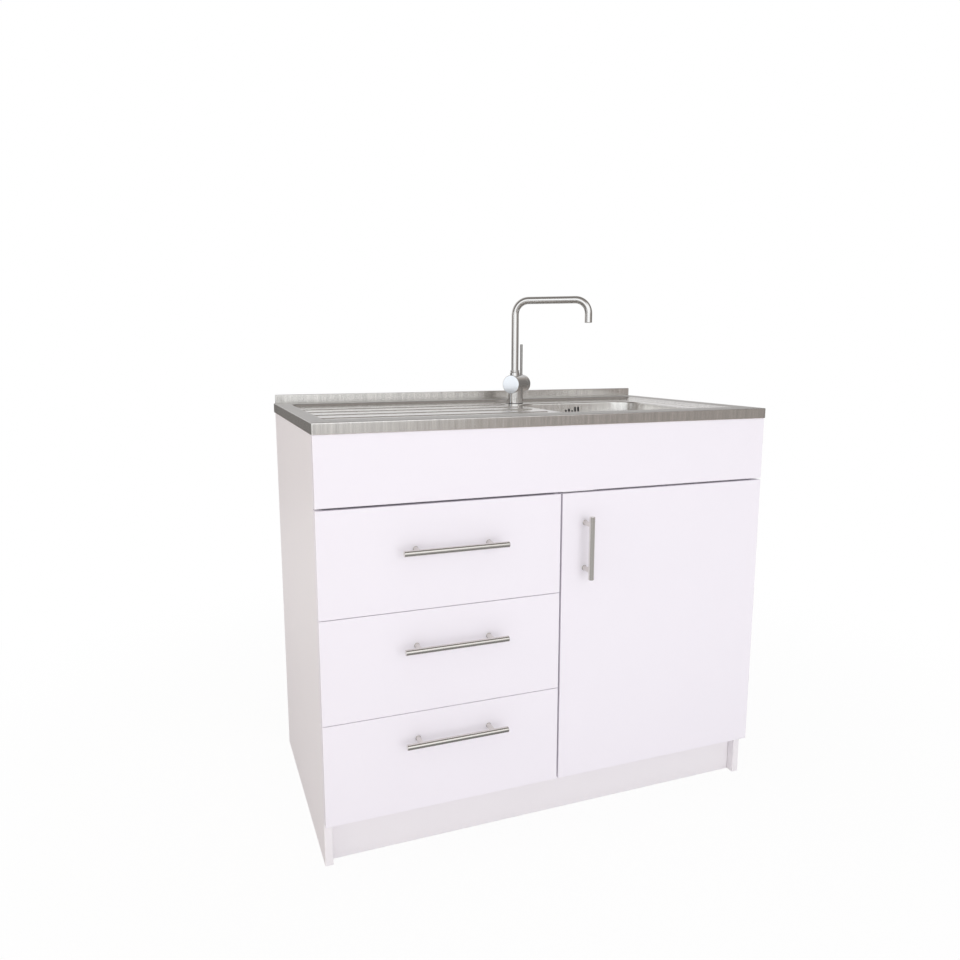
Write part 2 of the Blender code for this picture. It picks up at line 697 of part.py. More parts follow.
def arm_outline():
    """From the knuckle round the pin, along the cup's floor, out of the cup and back along the panel."""
    count = TINY_STEPS
    knuckle = []
    for step in range(count // 2 + 1):
        angle = -math.pi / 2 + math.pi * step / (count // 2)
        knuckle.append((KNUCKLE_RADIUS * math.cos(angle), KNUCKLE_RADIUS * math.sin(angle)))
    floor_low = -KNUCKLE_RADIUS
    floor_high = floor_low + ARM_SHEET
    inner = ARM_X - PIVOT_X
    outer = inner - ARM_SHEET
    end = CARCASS_Y + PLATE_SETBACK + ARM_REACH - PIVOT_Y
    rise = KNUCKLE_RADIUS
    return knuckle + [(-KNUCKLE_RADIUS, rise), (-KNUCKLE_RADIUS - ARM_SHEET, floor_high),
                      (inner, floor_high), (inner, end), (outer, end), (outer, floor_low)]


def circle(radius, count, centre=(0.0, 0.0)):
    return [(centre[0] + radius * math.cos(2 * math.pi * step / count),
             centre[1] + radius * math.sin(2 * math.pi * step / count)) for step in range(count)]


door_pieces = [door_panel, door_handle]
for label, hinge_z in (("lower", FRONTS_BOTTOM + HINGE_INSET), ("upper", FRONTS_TOP - HINGE_INSET)):
    bore = cylinder("hinge_bore_" + label, CUP_RADIUS + FIT, (CUP_X, CUP_FLOOR - FIT, hinge_z),
                    (CUP_X, DOOR_BACK_Y + OVERRUN, hinge_z), steps=ROUND_STEPS, collection=CUTTERS)
    cut(door_panel, bore)
    flange_back = CUP_DEPTH + FIT + CUP_FLANGE
    cup = turned("hinge_cup_" + label,
                 [(0.0, CUP_SHEET), (CUP_RADIUS - CUP_SHEET, CUP_SHEET),
                  (CUP_RADIUS - CUP_SHEET, flange_back),
                  (CUP_FLANGE_RADIUS, flange_back), (CUP_FLANGE_RADIUS, CUP_DEPTH + FIT),
                  (CUP_RADIUS, CUP_DEPTH + FIT), (CUP_RADIUS, 0.0), (0.0, 0.0)],
                 (CUP_X, CUP_FLOOR, hinge_z), (0, 1, 0), HINGE_STEEL)
    pin_half = math.sqrt(CUP_RADIUS ** 2 - (PIVOT_X - CUP_X + PIVOT_PIN_RADIUS) ** 2) - FIT
    pin = cylinder("hinge_pin_" + label, PIVOT_PIN_RADIUS, (PIVOT_X, PIVOT_Y, hinge_z - pin_half),
                   (PIVOT_X, PIVOT_Y, hinge_z + pin_half), steps=TINY_STEPS, collection=CUTTERS)
    join(cup, pin)
    door_pieces.append(cup)
    outline("hinge_arm_" + label, [arm_outline(), circle(PIVOT_PIN_RADIUS + FIT, TINY_STEPS)],
            ARM_HEIGHT, (PIVOT_X, PIVOT_Y, hinge_z), (0, 0, 0), HINGE_STEEL)
    plate_front = CARCASS_Y + PLATE_SETBACK
    box("hinge_plate_" + label,
        (INNER_HALF - FIT - PLATE_THICKNESS, plate_front, hinge_z - PLATE_HEIGHT / 2),
        (INNER_HALF - FIT, plate_front + PLATE_LENGTH, hinge_z + PLATE_HEIGHT / 2),
        HINGE_STEEL, BOARD_EDGE)
axis_empty("door_swing", (PIVOT_X, PIVOT_Y, FRONTS_BOTTOM), door_pieces)


# Sink top: skirted sheet, recessed field, bowl, ribs and upstand

def field_block(name, grow, low, high):
    return block(name, (FIELD_LEFT - grow, FIELD_FRONT - grow, low),
                 (FIELD_RIGHT + grow, FIELD_BACK + grow, high), FIELD_CORNER + grow, taper=FIELD_DRAFT)


def bowl_block(name, grow, low, high):
    return block(name, (BOWL_LEFT - grow, BOWL_FRONT - grow, low),
                 (BOWL_RIGHT + grow, BOWL_BACK + grow, high), BOWL_CORNER + grow,
                 BOWL_FLOOR_RADIUS + grow, BOWL_TAPER)


def ribs(name, shrink, low):
    """The drainer's raised ribs along X: straight sloping flanks, a flat top and round ends."""
    high = FIELD_Z + RIB_HEIGHT - shrink
    half = RIB_TOP / 2 - shrink
    start = FIELD_LEFT + FIELD_DRAFT + RIB_START + shrink
    stop = BOWL_LEFT - RIB_STOP - shrink
    first = FIELD_FRONT + RIB_FRONT_MARGIN
    pitch = (FIELD_BACK - RIB_BACK_MARGIN - first) / (RIB_COUNT - 1)
    made = []
    for index in range(RIB_COUNT):
        y = first + pitch * index
        made.append(block(name + "_" + str(index + 1), (start, y - half, low), (stop, y + half, high),
                          half / 2, taper=RIB_SLOPE * (low - high), steps=2))
    return made


sink_top = box("sink_top", (-SINK_HALF, SINK_FRONT_Y, RIM_HEIGHT - SKIRT_HEIGHT),
               (SINK_HALF, SINK_BACK_Y, RIM_HEIGHT), SINK_STEEL, TOP_EDGE)
sink_top.modifiers["edge"].segments = 2
upstand = box("sink_upstand",
              (-SINK_HALF + UPSTAND_INSET, SINK_BACK_Y - UPSTAND_THICKNESS, RIM_HEIGHT - SHEET),
              (SINK_HALF - UPSTAND_INSET, SINK_BACK_Y - FIT, RIM_HEIGHT + UPSTAND_HEIGHT),
              edge=TOP_EDGE, collection=CUTTERS)
underside = box("sink_underside",
                (-SINK_HALF + SHEET, SINK_FRONT_Y + SHEET, RIM_HEIGHT - SKIRT_HEIGHT - OVERRUN),
                (SINK_HALF - SHEET, SINK_BACK_Y - SHEET, RIM_HEIGHT - SHEET), collection=CUTTERS)
join(sink_top, upstand)
cut(sink_top, underside)
join(sink_top, field_block("field_outside", SHEET, FIELD_Z - SHEET, RIM_HEIGHT - SHEET / 2),
     bowl_block("bowl_outside", SHEET, BOWL_FLOOR - SHEET, FIELD_Z - SHEET / 2))
field_hollow = field_block("field_inside", 0.0, FIELD_Z, RIM_HEIGHT + OVERRUN)
cut(field_hollow, *ribs("rib_outside", 0.0, FIELD_Z - OVERRUN))
cut(sink_top, field_hollow, bowl_block("bowl_inside", 0.0, BOWL_FLOOR, FIELD_Z + OVERRUN),
    *ribs("rib_inside", SHEET, FIELD_Z - SHEET - OVERRUN),
    cylinder("tap_hole", TAP_HOLE_RADIUS, (TAP_X, TAP_Y, FIELD_Z - OVERRUN),
             (TAP_X, TAP_Y, FIELD_Z + OVERRUN), steps=SMALL_STEPS, collection=CUTTERS),
    cylinder("waste_hole", WASTE_HOLE_RADIUS, (BOWL_X, BOWL_Y, BOWL_FLOOR - OVERRUN),
             (BOWL_X, BOWL_Y, BOWL_FLOOR + OVERRUN), steps=ROUND_STEPS, collection=CUTTERS))
slots_z = FIELD_Z - OVERFLOW_DROP
slot_mid = (len(OVERFLOW_HEIGHT_SHARES) - 1) / 2
for index, share in enumerate(OVERFLOW_HEIGHT_SHARES):
    slot_x = BOWL_X + (index - slot_mid) * OVERFLOW_PITCH
    slot_low = slots_z - OVERFLOW_SLOT_HEIGHT / 2
    slot_high = slot_low + OVERFLOW_SLOT_HEIGHT * share
    cut(sink_top, box("overflow_slot_" + str(index + 1),
                      (slot_x - OVERFLOW_SLOT_WIDTH / 2, BOWL_BACK - BOWL_TAPER, slot_low),
                      (slot_x + OVERFLOW_SLOT_WIDTH / 2, BOWL_BACK + OVERRUN, slot_high),
                      collection=CUTTERS))


# Packing frame between the carcass and the sheet

frame_x = SINK_HALF - SHEET - FIT
frame_front = SINK_FRONT_Y + SHEET + FIT
frame_back = SINK_BACK_Y - SHEET - FIT
packing_frame = box("packing_frame", (-frame_x, frame_front, CARCASS_TOP + FIT),
                    (frame_x, frame_back, RIM_HEIGHT - SHEET - FIT), PACKING_WOOD)
frame_window = box("packing_frame_window",
                   (FRAME_STRIP - frame_x, frame_front + FRAME_STRIP, CARCASS_TOP - OVERRUN),
                   (frame_x - FRAME_STRIP, frame_back - FRAME_STRIP, RIM_HEIGHT), collection=CUTTERS)
cut(packing_frame, frame_window)


# Waste through the bowl's floor, its basket, the bottle trap and the overflow

CUP_OUT = WASTE_HOLE_RADIUS - WASTE_CLEAR
CUP_IN = CUP_OUT - WASTE_WALL
waste_top = FIT + WASTE_FLANGE
nut_top = -SHEET - FIT
waste_body = turned("waste_body",
                    [(CUP_IN, waste_top), (WASTE_FLANGE_RADIUS - WASTE_FLANGE / 2, waste_top),
                     (WASTE_FLANGE_RADIUS, FIT + WASTE_FLANGE / 2), (WASTE_FLANGE_RADIUS, FIT),
                     (CUP_OUT, FIT), (CUP_OUT, nut_top), (WASTE_NUT_RADIUS, nut_top),
                     (WASTE_NUT_RADIUS, nut_top - WASTE_NUT_HEIGHT),
                     (CUP_OUT, nut_top - WASTE_NUT_HEIGHT), (CUP_OUT, -WASTE_CUP_DEPTH),
                     (PIPE_RADIUS, -WASTE_CUP_DEPTH), (PIPE_RADIUS, -WASTE_CUP_DEPTH - PIPE_LENGTH),
                     (PIPE_RADIUS - WASTE_WALL, -WASTE_CUP_DEPTH - PIPE_LENGTH),
                     (PIPE_RADIUS - WASTE_WALL, WASTE_WALL - WASTE_CUP_DEPTH),
                     (CUP_IN, WASTE_WALL - WASTE_CUP_DEPTH)],
                    (BOWL_X, BOWL_Y, BOWL_FLOOR), material=SINK_STEEL)
SPIGOT_Z = BOWL_FLOOR - WASTE_CUP_DEPTH + OVERFLOW_PIPE_RADIUS
SPIGOT_END = BOWL_Y + CUP_OUT + SPIGOT_LENGTH
spigot = cylinder("overflow_spigot", OVERFLOW_PIPE_RADIUS,
                  (BOWL_X, BOWL_Y + CUP_IN + WASTE_WALL / 2, SPIGOT_Z), (BOWL_X, SPIGOT_END, SPIGOT_Z),
                  steps=TINY_STEPS, collection=CUTTERS)
join(waste_body, spigot)

rim_low = waste_top + FIT
basket_wall = CUP_IN - BASKET_CLEAR
basket_floor = rim_low - BASKET_DEPTH
knob_top = basket_floor + BASKET_SHEET + BASKET_KNOB_HEIGHT
strainer_basket = turned("strainer_basket",
                         [(0.0, knob_top), (BASKET_KNOB_RADIUS, knob_top),
                          (BASKET_KNOB_RADIUS, knob_top - BASKET_KNOB_RADIUS),
                          (BASKET_STEM_RADIUS, knob_top - BASKET_KNOB_RADIUS),
                          (BASKET_STEM_RADIUS, basket_floor + BASKET_SHEET),
                          (basket_wall - BASKET_SHEET, basket_floor + BASKET_SHEET),
                          (basket_wall - BASKET_SHEET, rim_low + BASKET_SHEET),
                          (CUP_IN + BASKET_SHOULDER, rim_low + BASKET_SHEET),
                          (CUP_IN + BASKET_SHOULDER, rim_low), (basket_wall, rim_low),
                          (basket_wall, basket_floor), (0.0, basket_floor)],
                         (BOWL_X, BOWL_Y, BOWL_FLOOR), material=SINK_STEEL)
for index in range(BASKET_HOLE_COUNT):
    angle = 2 * math.pi * index / BASKET_HOLE_COUNT + math.pi / ROUND_STEPS
    at = Vector((BOWL_X + BASKET_HOLE_RING * math.cos(angle),
                 BOWL_Y + BASKET_HOLE_RING * math.sin(angle), BOWL_FLOOR + basket_floor))
    drop = Vector((0, 0, OVERRUN))
    cut(strainer_basket, cylinder("basket_hole_" + str(index + 1), BASKET_HOLE_RADIUS, at - drop,
                                  at + drop, steps=BEND_STEPS, collection=CUTTERS))
axis_empty("basket_lift", (BOWL_X, BOWL_Y, BOWL_FLOOR), [strainer_basket])

TAIL_END = BOWL_FLOOR - WASTE_CUP_DEPTH - PIPE_LENGTH
bottle_top = -FIT - BOTTLE_NECK
bottle_low = bottle_top - BOTTLE_HEIGHT
trap = turned("bottle_trap",
              [(0.0, -FIT), (PIPE_RADIUS + FIT, -FIT), (PIPE_RADIUS + FIT, COLLAR_HEIGHT),
               (COLLAR_RADIUS, COLLAR_HEIGHT), (COLLAR_RADIUS, 0.0), (PIPE_RADIUS + WASTE_WALL, 0.0),
               (PIPE_RADIUS + WASTE_WALL, bottle_top + BOTTLE_SHOULDER), (BOTTLE_RADIUS, bottle_top),
               (BOTTLE_RADIUS, bottle_low + BOTTLE_SHOULDER),
               (BOTTLE_RADIUS - BOTTLE_SHOULDER, bottle_low), (0.0, bottle_low)],
              (BOWL_X, BOWL_Y, TAIL_END), material=WHITE_PLASTIC)
OUTLET_Z = TAIL_END + bottle_top - OUTLET_DROP
outlet_end = REAR_Y - OUTLET_SHORT
outlet = cylinder("trap_outlet", PIPE_RADIUS, (BOWL_X, BOWL_Y, OUTLET_Z), (BOWL_X, outlet_end, OUTLET_Z),
                  steps=SMALL_STEPS, collection=CUTTERS)
outlet_nut = cylinder("trap_outlet_nut", COLLAR_RADIUS,
                      (BOWL_X, BOWL_Y + BOTTLE_RADIUS - WASTE_WALL, OUTLET_Z),
                      (BOWL_X, BOWL_Y + BOTTLE_RADIUS + COLLAR_HEIGHT, OUTLET_Z),
                      steps=SMALL_STEPS, collection=CUTTERS)
outlet_bore = cylinder("trap_outlet_bore", PIPE_RADIUS - WASTE_WALL,
                       (BOWL_X, outlet_end - OUTLET_BORE, OUTLET_Z), (BOWL_X, REAR_Y + OVERRUN, OUTLET_Z),
                       steps=SMALL_STEPS, collection=CUTTERS)
join(trap, outlet, outlet_nut)
cut(trap, outlet_bore)

slot_low = slots_z - OVERFLOW_BOX_HEIGHT / 2
box_high = slot_low + OVERFLOW_BOX_HEIGHT
box_half = OVERFLOW_BOX_WIDTH / 2
chamber_half = box_half - OVERFLOW_BOX_WALL
overflow = box("overflow_housing", (BOWL_X - box_half, BOWL_BACK - BOWL_TAPER, slot_low),
               (BOWL_X + box_half, BOWL_BACK + OVERFLOW_BOX_DEPTH, box_high), WHITE_PLASTIC, BOARD_EDGE)
run_y = BOWL_BACK + OVERFLOW_BOX_DEPTH / 2
bend = OVERFLOW_PIPE_BEND
bend_centre = (BOWL_X, run_y - bend, SPIGOT_Z + bend)
route = ([(BOWL_X, run_y, slot_low + OVERFLOW_BOX_WALL / 2)]
         + arc(bend_centre, (BOWL_X, run_y, SPIGOT_Z + bend), (BOWL_X, run_y - bend, SPIGOT_Z), math.pi / 2)
         + [(BOWL_X, SPIGOT_END + FIT, SPIGOT_Z)])
join(overflow, tube("overflow_pipe", route, OVERFLOW_PIPE_RADIUS, collection=CUTTERS, resolution=2))
cut(overflow,
    box("overflow_chamber",
        (BOWL_X - chamber_half, BOWL_BACK - BOWL_TAPER - OVERRUN, slot_low + OVERFLOW_BOX_WALL),
        (BOWL_X + chamber_half, BOWL_BACK + OVERFLOW_BOX_DEPTH - OVERFLOW_BOX_WALL,
         box_high - OVERFLOW_BOX_WALL), collection=CUTTERS),
    bowl_block("overflow_seat", SHEET + FIT, BOWL_FLOOR - SHEET - FIT, FIELD_Z - SHEET / 2))


# Tap: column and housing, spindle, knob, lever, spout

TURN = math.radians(HOUSING_TURN_DEG)
AHEAD = Vector((math.sin(TURN), math.cos(TURN), 0.0))
ACROSS = Vector((math.cos(TURN), -math.sin(TURN), 0.0))
UP = Vector((0.0, 0.0, 1.0))
HUB = Vector((TAP_X, TAP_Y, HOUSING_Z))
TILT = HUB + AHEAD * TILT_POINT
DOME = math.hypot(HOUSING_RADIUS, SPLIT_AT - TILT_POINT)
KNOB_DOME = DOME + KNOB_GAP


def dome_points(radius, edge):
    """Points of a sphere about the tilt point, from its axis out to the edge radius."""
    last = math.asin(edge / radius)
    return [(radius * math.sin(last * step / BEND_STEPS), radius * math.cos(last * step / BEND_STEPS))
            for step in range(BEND_STEPS + 1)]


front_end = -HOUSING_FRONT - TILT_POINT
tap_body = turned("tap_body",
                  dome_points(DOME, HOUSING_RADIUS)
                  + [(HOUSING_RADIUS, front_end + COLUMN_EDGE), (HOUSING_RADIUS - COLUMN_EDGE, front_end),
                     (0.0, front_end)],
                  TILT, AHEAD, TAP_STEEL)
column = cylinder("tap_column", COLUMN_RADIUS, (TAP_X, TAP_Y, FIELD_Z + FIT), HUB, steps=ROUND_STEPS,
                  collection=CUTTERS)
shank = cylinder("tap_shank", SHANK_RADIUS, (TAP_X, TAP_Y, FIELD_Z - SHEET - SHANK_LENGTH),
                 HUB - UP * PLUG_DEPTH, steps=SMALL_STEPS, collection=CUTTERS)
SEAT_TOP = HOUSING_Z + HOUSING_RADIUS + SEAT_HEIGHT
seat = cylinder("tap_seat", SEAT_RADIUS, HUB, (TAP_X, TAP_Y, SEAT_TOP), steps=SMALL_STEPS,
                collection=CUTTERS)
join(tap_body, column, shank, seat)
cut(tap_body,
    cylinder("spout_socket", PLUG_RADIUS + FIT, (TAP_X, TAP_Y, SEAT_TOP - PLUG_DEPTH - FIT),
             (TAP_X, TAP_Y, SEAT_TOP + OVERRUN), steps=SMALL_STEPS, collection=CUTTERS),
    cylinder("spindle_bore", SPINDLE_RADIUS + FIT, HUB + AHEAD * (SPINDLE_START - FIT),
             HUB + AHEAD * (KNOB_END + OVERRUN), steps=SMALL_STEPS, collection=CUTTERS),
    cylinder("spindle_throat", THROAT_RADIUS, HUB + AHEAD * (SPINDLE_END + FIT),
             HUB + AHEAD * (KNOB_END + OVERRUN), steps=SMALL_STEPS, collection=CUTTERS))

nut_loops = [circle(NUT_RADIUS, NUT_SIDES), circle(SHANK_RADIUS + FIT, SMALL_STEPS)]
shank_nut = outline("shank_nut", nut_loops, NUT_HEIGHT,
                    (TAP_X, TAP_Y, FIELD_Z - SHEET - FIT - NUT_HEIGHT / 2), material=BRASS)

SLOT_FLOOR = TILT_POINT - math.hypot(STEM_WIDTH / 2, STEM_WIDTH / 2) - FIT
FACING = (0.0, 0.0, math.pi / 2 - TURN)


def turned_box(name, low, high, collection=CUTTERS, origin=HUB):
    """A box laid out along the housing's axis: lengths along it, across it and up, from the hub."""
    made = box(name, origin + Vector(low), origin + Vector(high), collection=collection, origin=origin)
    made.rotation_euler = FACING
    return made


mixer_spindle = cylinder("mixer_spindle", SPINDLE_RADIUS - FIT / 2, HUB + AHEAD * SPINDLE_START,
                         HUB + AHEAD * SPINDLE_END, BRASS, steps=SMALL_STEPS)
slot_half = STEM_WIDTH / 2 + FIT
slot_reach = SPINDLE_RADIUS + OVERRUN
cut(mixer_spindle, turned_box("spindle_slot", (SLOT_FLOOR, -slot_half, -slot_reach),
                              (SPINDLE_END + OVERRUN, slot_half, slot_reach)))
pin_reach = ACROSS * (SPINDLE_RADIUS - TILT_PIN_RADIUS)
join(mixer_spindle, cylinder("tilt_pin", TILT_PIN_RADIUS, TILT - pin_reach, TILT + pin_reach,
                             steps=TINY_STEPS, collection=CUTTERS))

knob_face = KNOB_END - TILT_POINT
inner_dome = dome_points(KNOB_DOME, HOUSING_RADIUS)
mixer_knob = turned("mixer_knob",
                    [(0.0, knob_face), (HOUSING_RADIUS - COLUMN_EDGE, knob_face),
                     (HOUSING_RADIUS, knob_face - COLUMN_EDGE)] + list(reversed(inner_dome)),
                    TILT, AHEAD, TAP_STEEL)
stem_end = KNOB_DOME + (KNOB_END - TILT_POINT - KNOB_DOME) / 2
join(mixer_knob, turned_box("knob_stem", (-STEM_WIDTH / 2, -STEM_WIDTH / 2, -STEM_WIDTH / 2),
                            (stem_end, STEM_WIDTH / 2, STEM_WIDTH / 2), origin=TILT))
lever_foot = HUB + AHEAD * LEVER_AT + UP * (HOUSING_RADIUS - LEVER_SEAT)
lever_top = HUB + AHEAD * LEVER_AT + UP * (HOUSING_RADIUS + LEVER_LENGTH)
cut(mixer_knob,
    cylinder("tilt_pin_hole", TILT_PIN_RADIUS + FIT, TILT - ACROSS * STEM_WIDTH,
             TILT + ACROSS * STEM_WIDTH, steps=TINY_STEPS, collection=CUTTERS),
    cylinder("lever_socket", LEVER_RADIUS + FIT, lever_foot - UP * FIT,
             lever_foot + UP * (LEVER_SEAT + OVERRUN), steps=TINY_STEPS, collection=CUTTERS))
lever_run = (lever_top - lever_foot).length
mixer_lever = turned("mixer_lever",
                     [(0.0, lever_run), (LEVER_RADIUS - COLUMN_EDGE, lever_run),
                      (LEVER_RADIUS, lever_run - COLUMN_EDGE), (LEVER_RADIUS, 0.0), (0.0, 0.0)],
                     lever_foot, material=TAP_STEEL, steps=TINY_STEPS)

SWING = math.radians(SPOUT_TURN_DEG)
OUTWARD = Vector((math.sin(SWING), math.cos(SWING), 0.0))
BASE = Vector((TAP_X, TAP_Y, FIELD_Z))
arm = BASE + UP * SPOUT_RISE
tip = arm + OUTWARD * SPOUT_REACH
mouth = tip - UP * SPOUT_DROP
ring_low = SEAT_TOP + FIT
low_bend = arm - UP * SPOUT_BEND + OUTWARD * SPOUT_BEND
high_bend = tip - OUTWARD * SPOUT_BEND - UP * SPOUT_BEND
spout_route = ([Vector((TAP_X, TAP_Y, ring_low + COLLAR_RING_HEIGHT / 2))]
               + arc(low_bend, arm - UP * SPOUT_BEND, arm + OUTWARD * SPOUT_BEND, math.pi / 2)
               + arc(high_bend, tip - OUTWARD * SPOUT_BEND, tip - UP * SPOUT_BEND, math.pi / 2) + [mouth])
spout = tube("spout", spout_route, SPOUT_RADIUS, TAP_STEEL, resolution=4,
             origin=(TAP_X, TAP_Y, ring_low))
join(spout, cylinder("spout_ring", COLLAR_RING_RADIUS, (TAP_X, TAP_Y, ring_low),
                     (TAP_X, TAP_Y, ring_low + COLLAR_RING_HEIGHT), steps=SMALL_STEPS, collection=CUTTERS),
     cylinder("spout_plug", PLUG_RADIUS, (TAP_X, TAP_Y, SEAT_TOP - PLUG_DEPTH),
              (TAP_X, TAP_Y, ring_low + COLLAR_RING_HEIGHT / 2), steps=SMALL_STEPS, collection=CUTTERS))
cut(spout, cylinder("aerator_seat", AERATOR_RADIUS + FIT, mouth + UP * (AERATOR_LENGTH + FIT),
                    mouth - UP * OVERRUN, steps=SMALL_STEPS, collection=CUTTERS))
aerator = turned("aerator",
                 [(0.0, AERATOR_LENGTH), (AERATOR_RADIUS, AERATOR_LENGTH), (AERATOR_RADIUS, 0.0),
                  (AERATOR_RADIUS - SPOUT_WALL, 0.0), (AERATOR_RADIUS - SPOUT_WALL, SPOUT_WALL),
                  (0.0, SPOUT_WALL)],
                 mouth, material=WHITE_PLASTIC, steps=SMALL_STEPS)

axis_empty("spout_swivel", (TAP_X, TAP_Y, SEAT_TOP), [spout, aerator])
turn_axis = axis_empty("mixer_turn", HUB, [mixer_spindle])
tilt_axis = axis_empty("mixer_tilt", TILT, [mixer_knob, mixer_lever])
tilt_axis.parent = turn_axis
tilt_axis.matrix_parent_inverse = turn_axis.matrix_world.inverted()
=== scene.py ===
"""Finishes, fine pieces and stage for the sink cabinet, in the CAD model's frame: metres, +Z up."""

import json
import math

import bmesh
import bpy
from mathutils import Matrix, Vector


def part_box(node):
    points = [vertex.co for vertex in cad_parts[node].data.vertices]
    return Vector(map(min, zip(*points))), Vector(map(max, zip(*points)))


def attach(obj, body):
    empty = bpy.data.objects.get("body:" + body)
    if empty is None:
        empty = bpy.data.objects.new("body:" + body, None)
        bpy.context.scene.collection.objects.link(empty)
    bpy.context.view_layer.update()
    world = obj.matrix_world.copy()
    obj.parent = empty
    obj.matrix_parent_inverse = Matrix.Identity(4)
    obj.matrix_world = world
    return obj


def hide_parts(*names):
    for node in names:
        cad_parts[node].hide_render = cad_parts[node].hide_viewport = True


bl_info = {
    "name": "Sink cabinet",
    "version": (1, 0, 0),
    "blender": (4, 5, 0),
    "location": "View3D > Sidebar > Sink cabinet",
    "description": "Builds the fine pieces, finishes and stage of a sink cabinet around its CAD frame",
    "category": "Object",
}

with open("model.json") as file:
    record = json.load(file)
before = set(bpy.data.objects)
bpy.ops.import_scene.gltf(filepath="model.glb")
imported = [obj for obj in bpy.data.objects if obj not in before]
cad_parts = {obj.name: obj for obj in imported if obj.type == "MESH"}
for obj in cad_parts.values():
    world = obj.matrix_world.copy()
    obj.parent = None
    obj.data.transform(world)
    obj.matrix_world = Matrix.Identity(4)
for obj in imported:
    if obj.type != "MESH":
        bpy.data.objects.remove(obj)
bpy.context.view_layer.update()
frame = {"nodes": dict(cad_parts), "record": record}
NODES = frame["nodes"]
LEVELS = ("top", "middle", "bottom")
HINGES = ("lower", "upper")


def middle_of(node):
    """The middle of a CAD node's box."""
    low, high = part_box(node)
    return (low + high) / 2


def heading(degrees):
    """A level direction, turned clockwise from straight back."""
    turn = math.radians(degrees)
    return Vector((math.sin(turn), math.cos(turn), 0.0))


UP = Vector((0.0, 0.0, 1.0))
BACK = (0, 1, 0)
FRONT_BACK_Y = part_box("fascia_panel")[1].y
SINK_LOW, SINK_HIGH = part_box("sink_top")
BOWL_MID = middle_of("strainer_basket")
TAP_MID = middle_of("shank_nut")
AHEAD = heading(52.0)
OUTWARD = heading(125.7)

# Heights above the floor
RIM_Z = 0.880
FIELD_Z = 0.8722
BOWL_FLOOR_Z = 0.7222
OVERFLOW_Z = 0.8542
SPIGOT_Z = 0.6922
TRAP_Z = 0.6522
OUTLET_Z = 0.6036
HUB_Z = 0.9212

# Fronts: what each drawer front gains below and above, and the radius and depth of the hinge cups' bores
GAP_GROWTH = {"top": (0.0003, 0.0), "middle": (0.0003, 0.0003), "bottom": (0.0, 0.0003)}
CUP_BORE = (0.0178, 0.0133)

# Handles: from the middle of a bar to each post
DRAWER_POSTS = 0.075
DOOR_POSTS = 0.048

# Radius and height of the screw heads
SCREWS = {"handle": (0.0042, 0.0018), "wing": (0.0036, 0.0012), "plate": (0.0038, 0.0016),
          "arm": (0.0034, 0.0014)}

# Sink sheet
RIM_SIDE, RIM_FRONT, RIM_BACK = 0.033, 0.058, 0.048
RIM_CORNER = 0.0035
FIELD_CORNER = 0.016
FIELD_SLOPE = 0.0070
RIB_COUNT = 6
RIB_X = (-0.4578, 0.0512)
RIB_MARGINS = (0.097, 0.070)
RIB_HALF = 0.0085
RIB_SLOPE = 0.0028
RIB_HEIGHT = 0.0017
BOWL_X = (0.077, 0.423)
BOWL_Y = (-0.18315, 0.17485)
BOWL_DRAFT = 0.010
TAP_HOLE = 0.0175
WASTE_HOLE = 0.045
SLOT_SHARES = (0.45, 0.65, 0.32, 1.0, 1.0)
SLOT_TALL = 0.013
SLOT_WIDE = 0.0056
SLOT_PITCH = 0.009

# Tap
HOUSING_RADIUS = 0.0235
HOUSING_END = 0.0318
KNOB_END = 0.0325
JOINT_AHEAD = 0.0171
COLUMN_RADIUS = 0.0215
COLLAR_RADIUS = 0.012
THREAD_PITCH = 0.0015
SPOUT_FOOT_Z = 0.9515
SPOUT_RADIUS = 0.0090
SPOUT_BEND = 0.034
SPOUT_REACH = 0.186

# Where the end strips of the packing frame start
STRIP_END_X = 0.4745

# Rows of holes for shelf pins, and the hinge plate that breaks one of them
HOLE_ROWS_Y = (-0.208, 0.200)
HOLE_FIRST_Z = 0.240
HOLE_PITCH = 0.032
HOLE_COUNT = 13
HINGE_PLATE_Z = (0.585, 0.655)

# Soft boxes that metal mirrors: direction, cosines where each starts and is full, brightness, lowest height
SOFT_BOXES = (
    ((-0.174, -0.985, 0.0), 0.83, 0.985, 0.90, -0.125),
    ((-0.600, -0.770, 0.217), 0.86, 0.98, 0.85, -0.24),
    ((-0.985, -0.168, -0.04), 0.976, 0.994, 0.70, -0.24),
    ((0.280, -0.862, 0.423), 0.914, 0.985, 0.70, -0.12),
)

# Tones of the mirrored studio by its level of light
STUDIO_TONES = (
    (0.0, (0.0, 0.0, 0.0)),
    (0.22, (0.176, 0.168, 0.160)),
    (0.39, (0.336, 0.305, 0.285)),
    (0.55, (0.445, 0.430, 0.414)),
    (0.75, (0.590, 0.586, 0.594)),
    (1.0, (0.97, 0.99, 1.0)),
)

# Camera, fitted to the picture's straight edges
CAMERA_AT = (-0.7113, -1.6517, 1.0035)
CAMERA_DOWN, CAMERA_ROLL, CAMERA_RIGHT = 9.3665, 0.017, 21.015
FOCAL_PIXELS, PICTURE_PIXELS, SENSOR_WIDTH = 776.79, 960.0, 36.0

# Held beside each rounded corner, as a share of its rounding, so that the flats stay flat when shaded
HOLD = 0.5

# Points nearer than this are one point
TOUCH = 0.000002


# Sizes and colours that a user would change

def length(label, default, text):
    return bpy.props.FloatProperty(name=label, description=text, default=default, min=0.0, unit="LENGTH",
                                   precision=4)


def share(label, default, text):
    return bpy.props.FloatProperty(name=label, description=text, default=default, min=0.0, max=1.0,
                                   subtype="FACTOR")


def watts(label, default):
    return bpy.props.FloatProperty(name=label, description="Power of the lamp", default=default, min=0.0,
                                   unit="POWER")


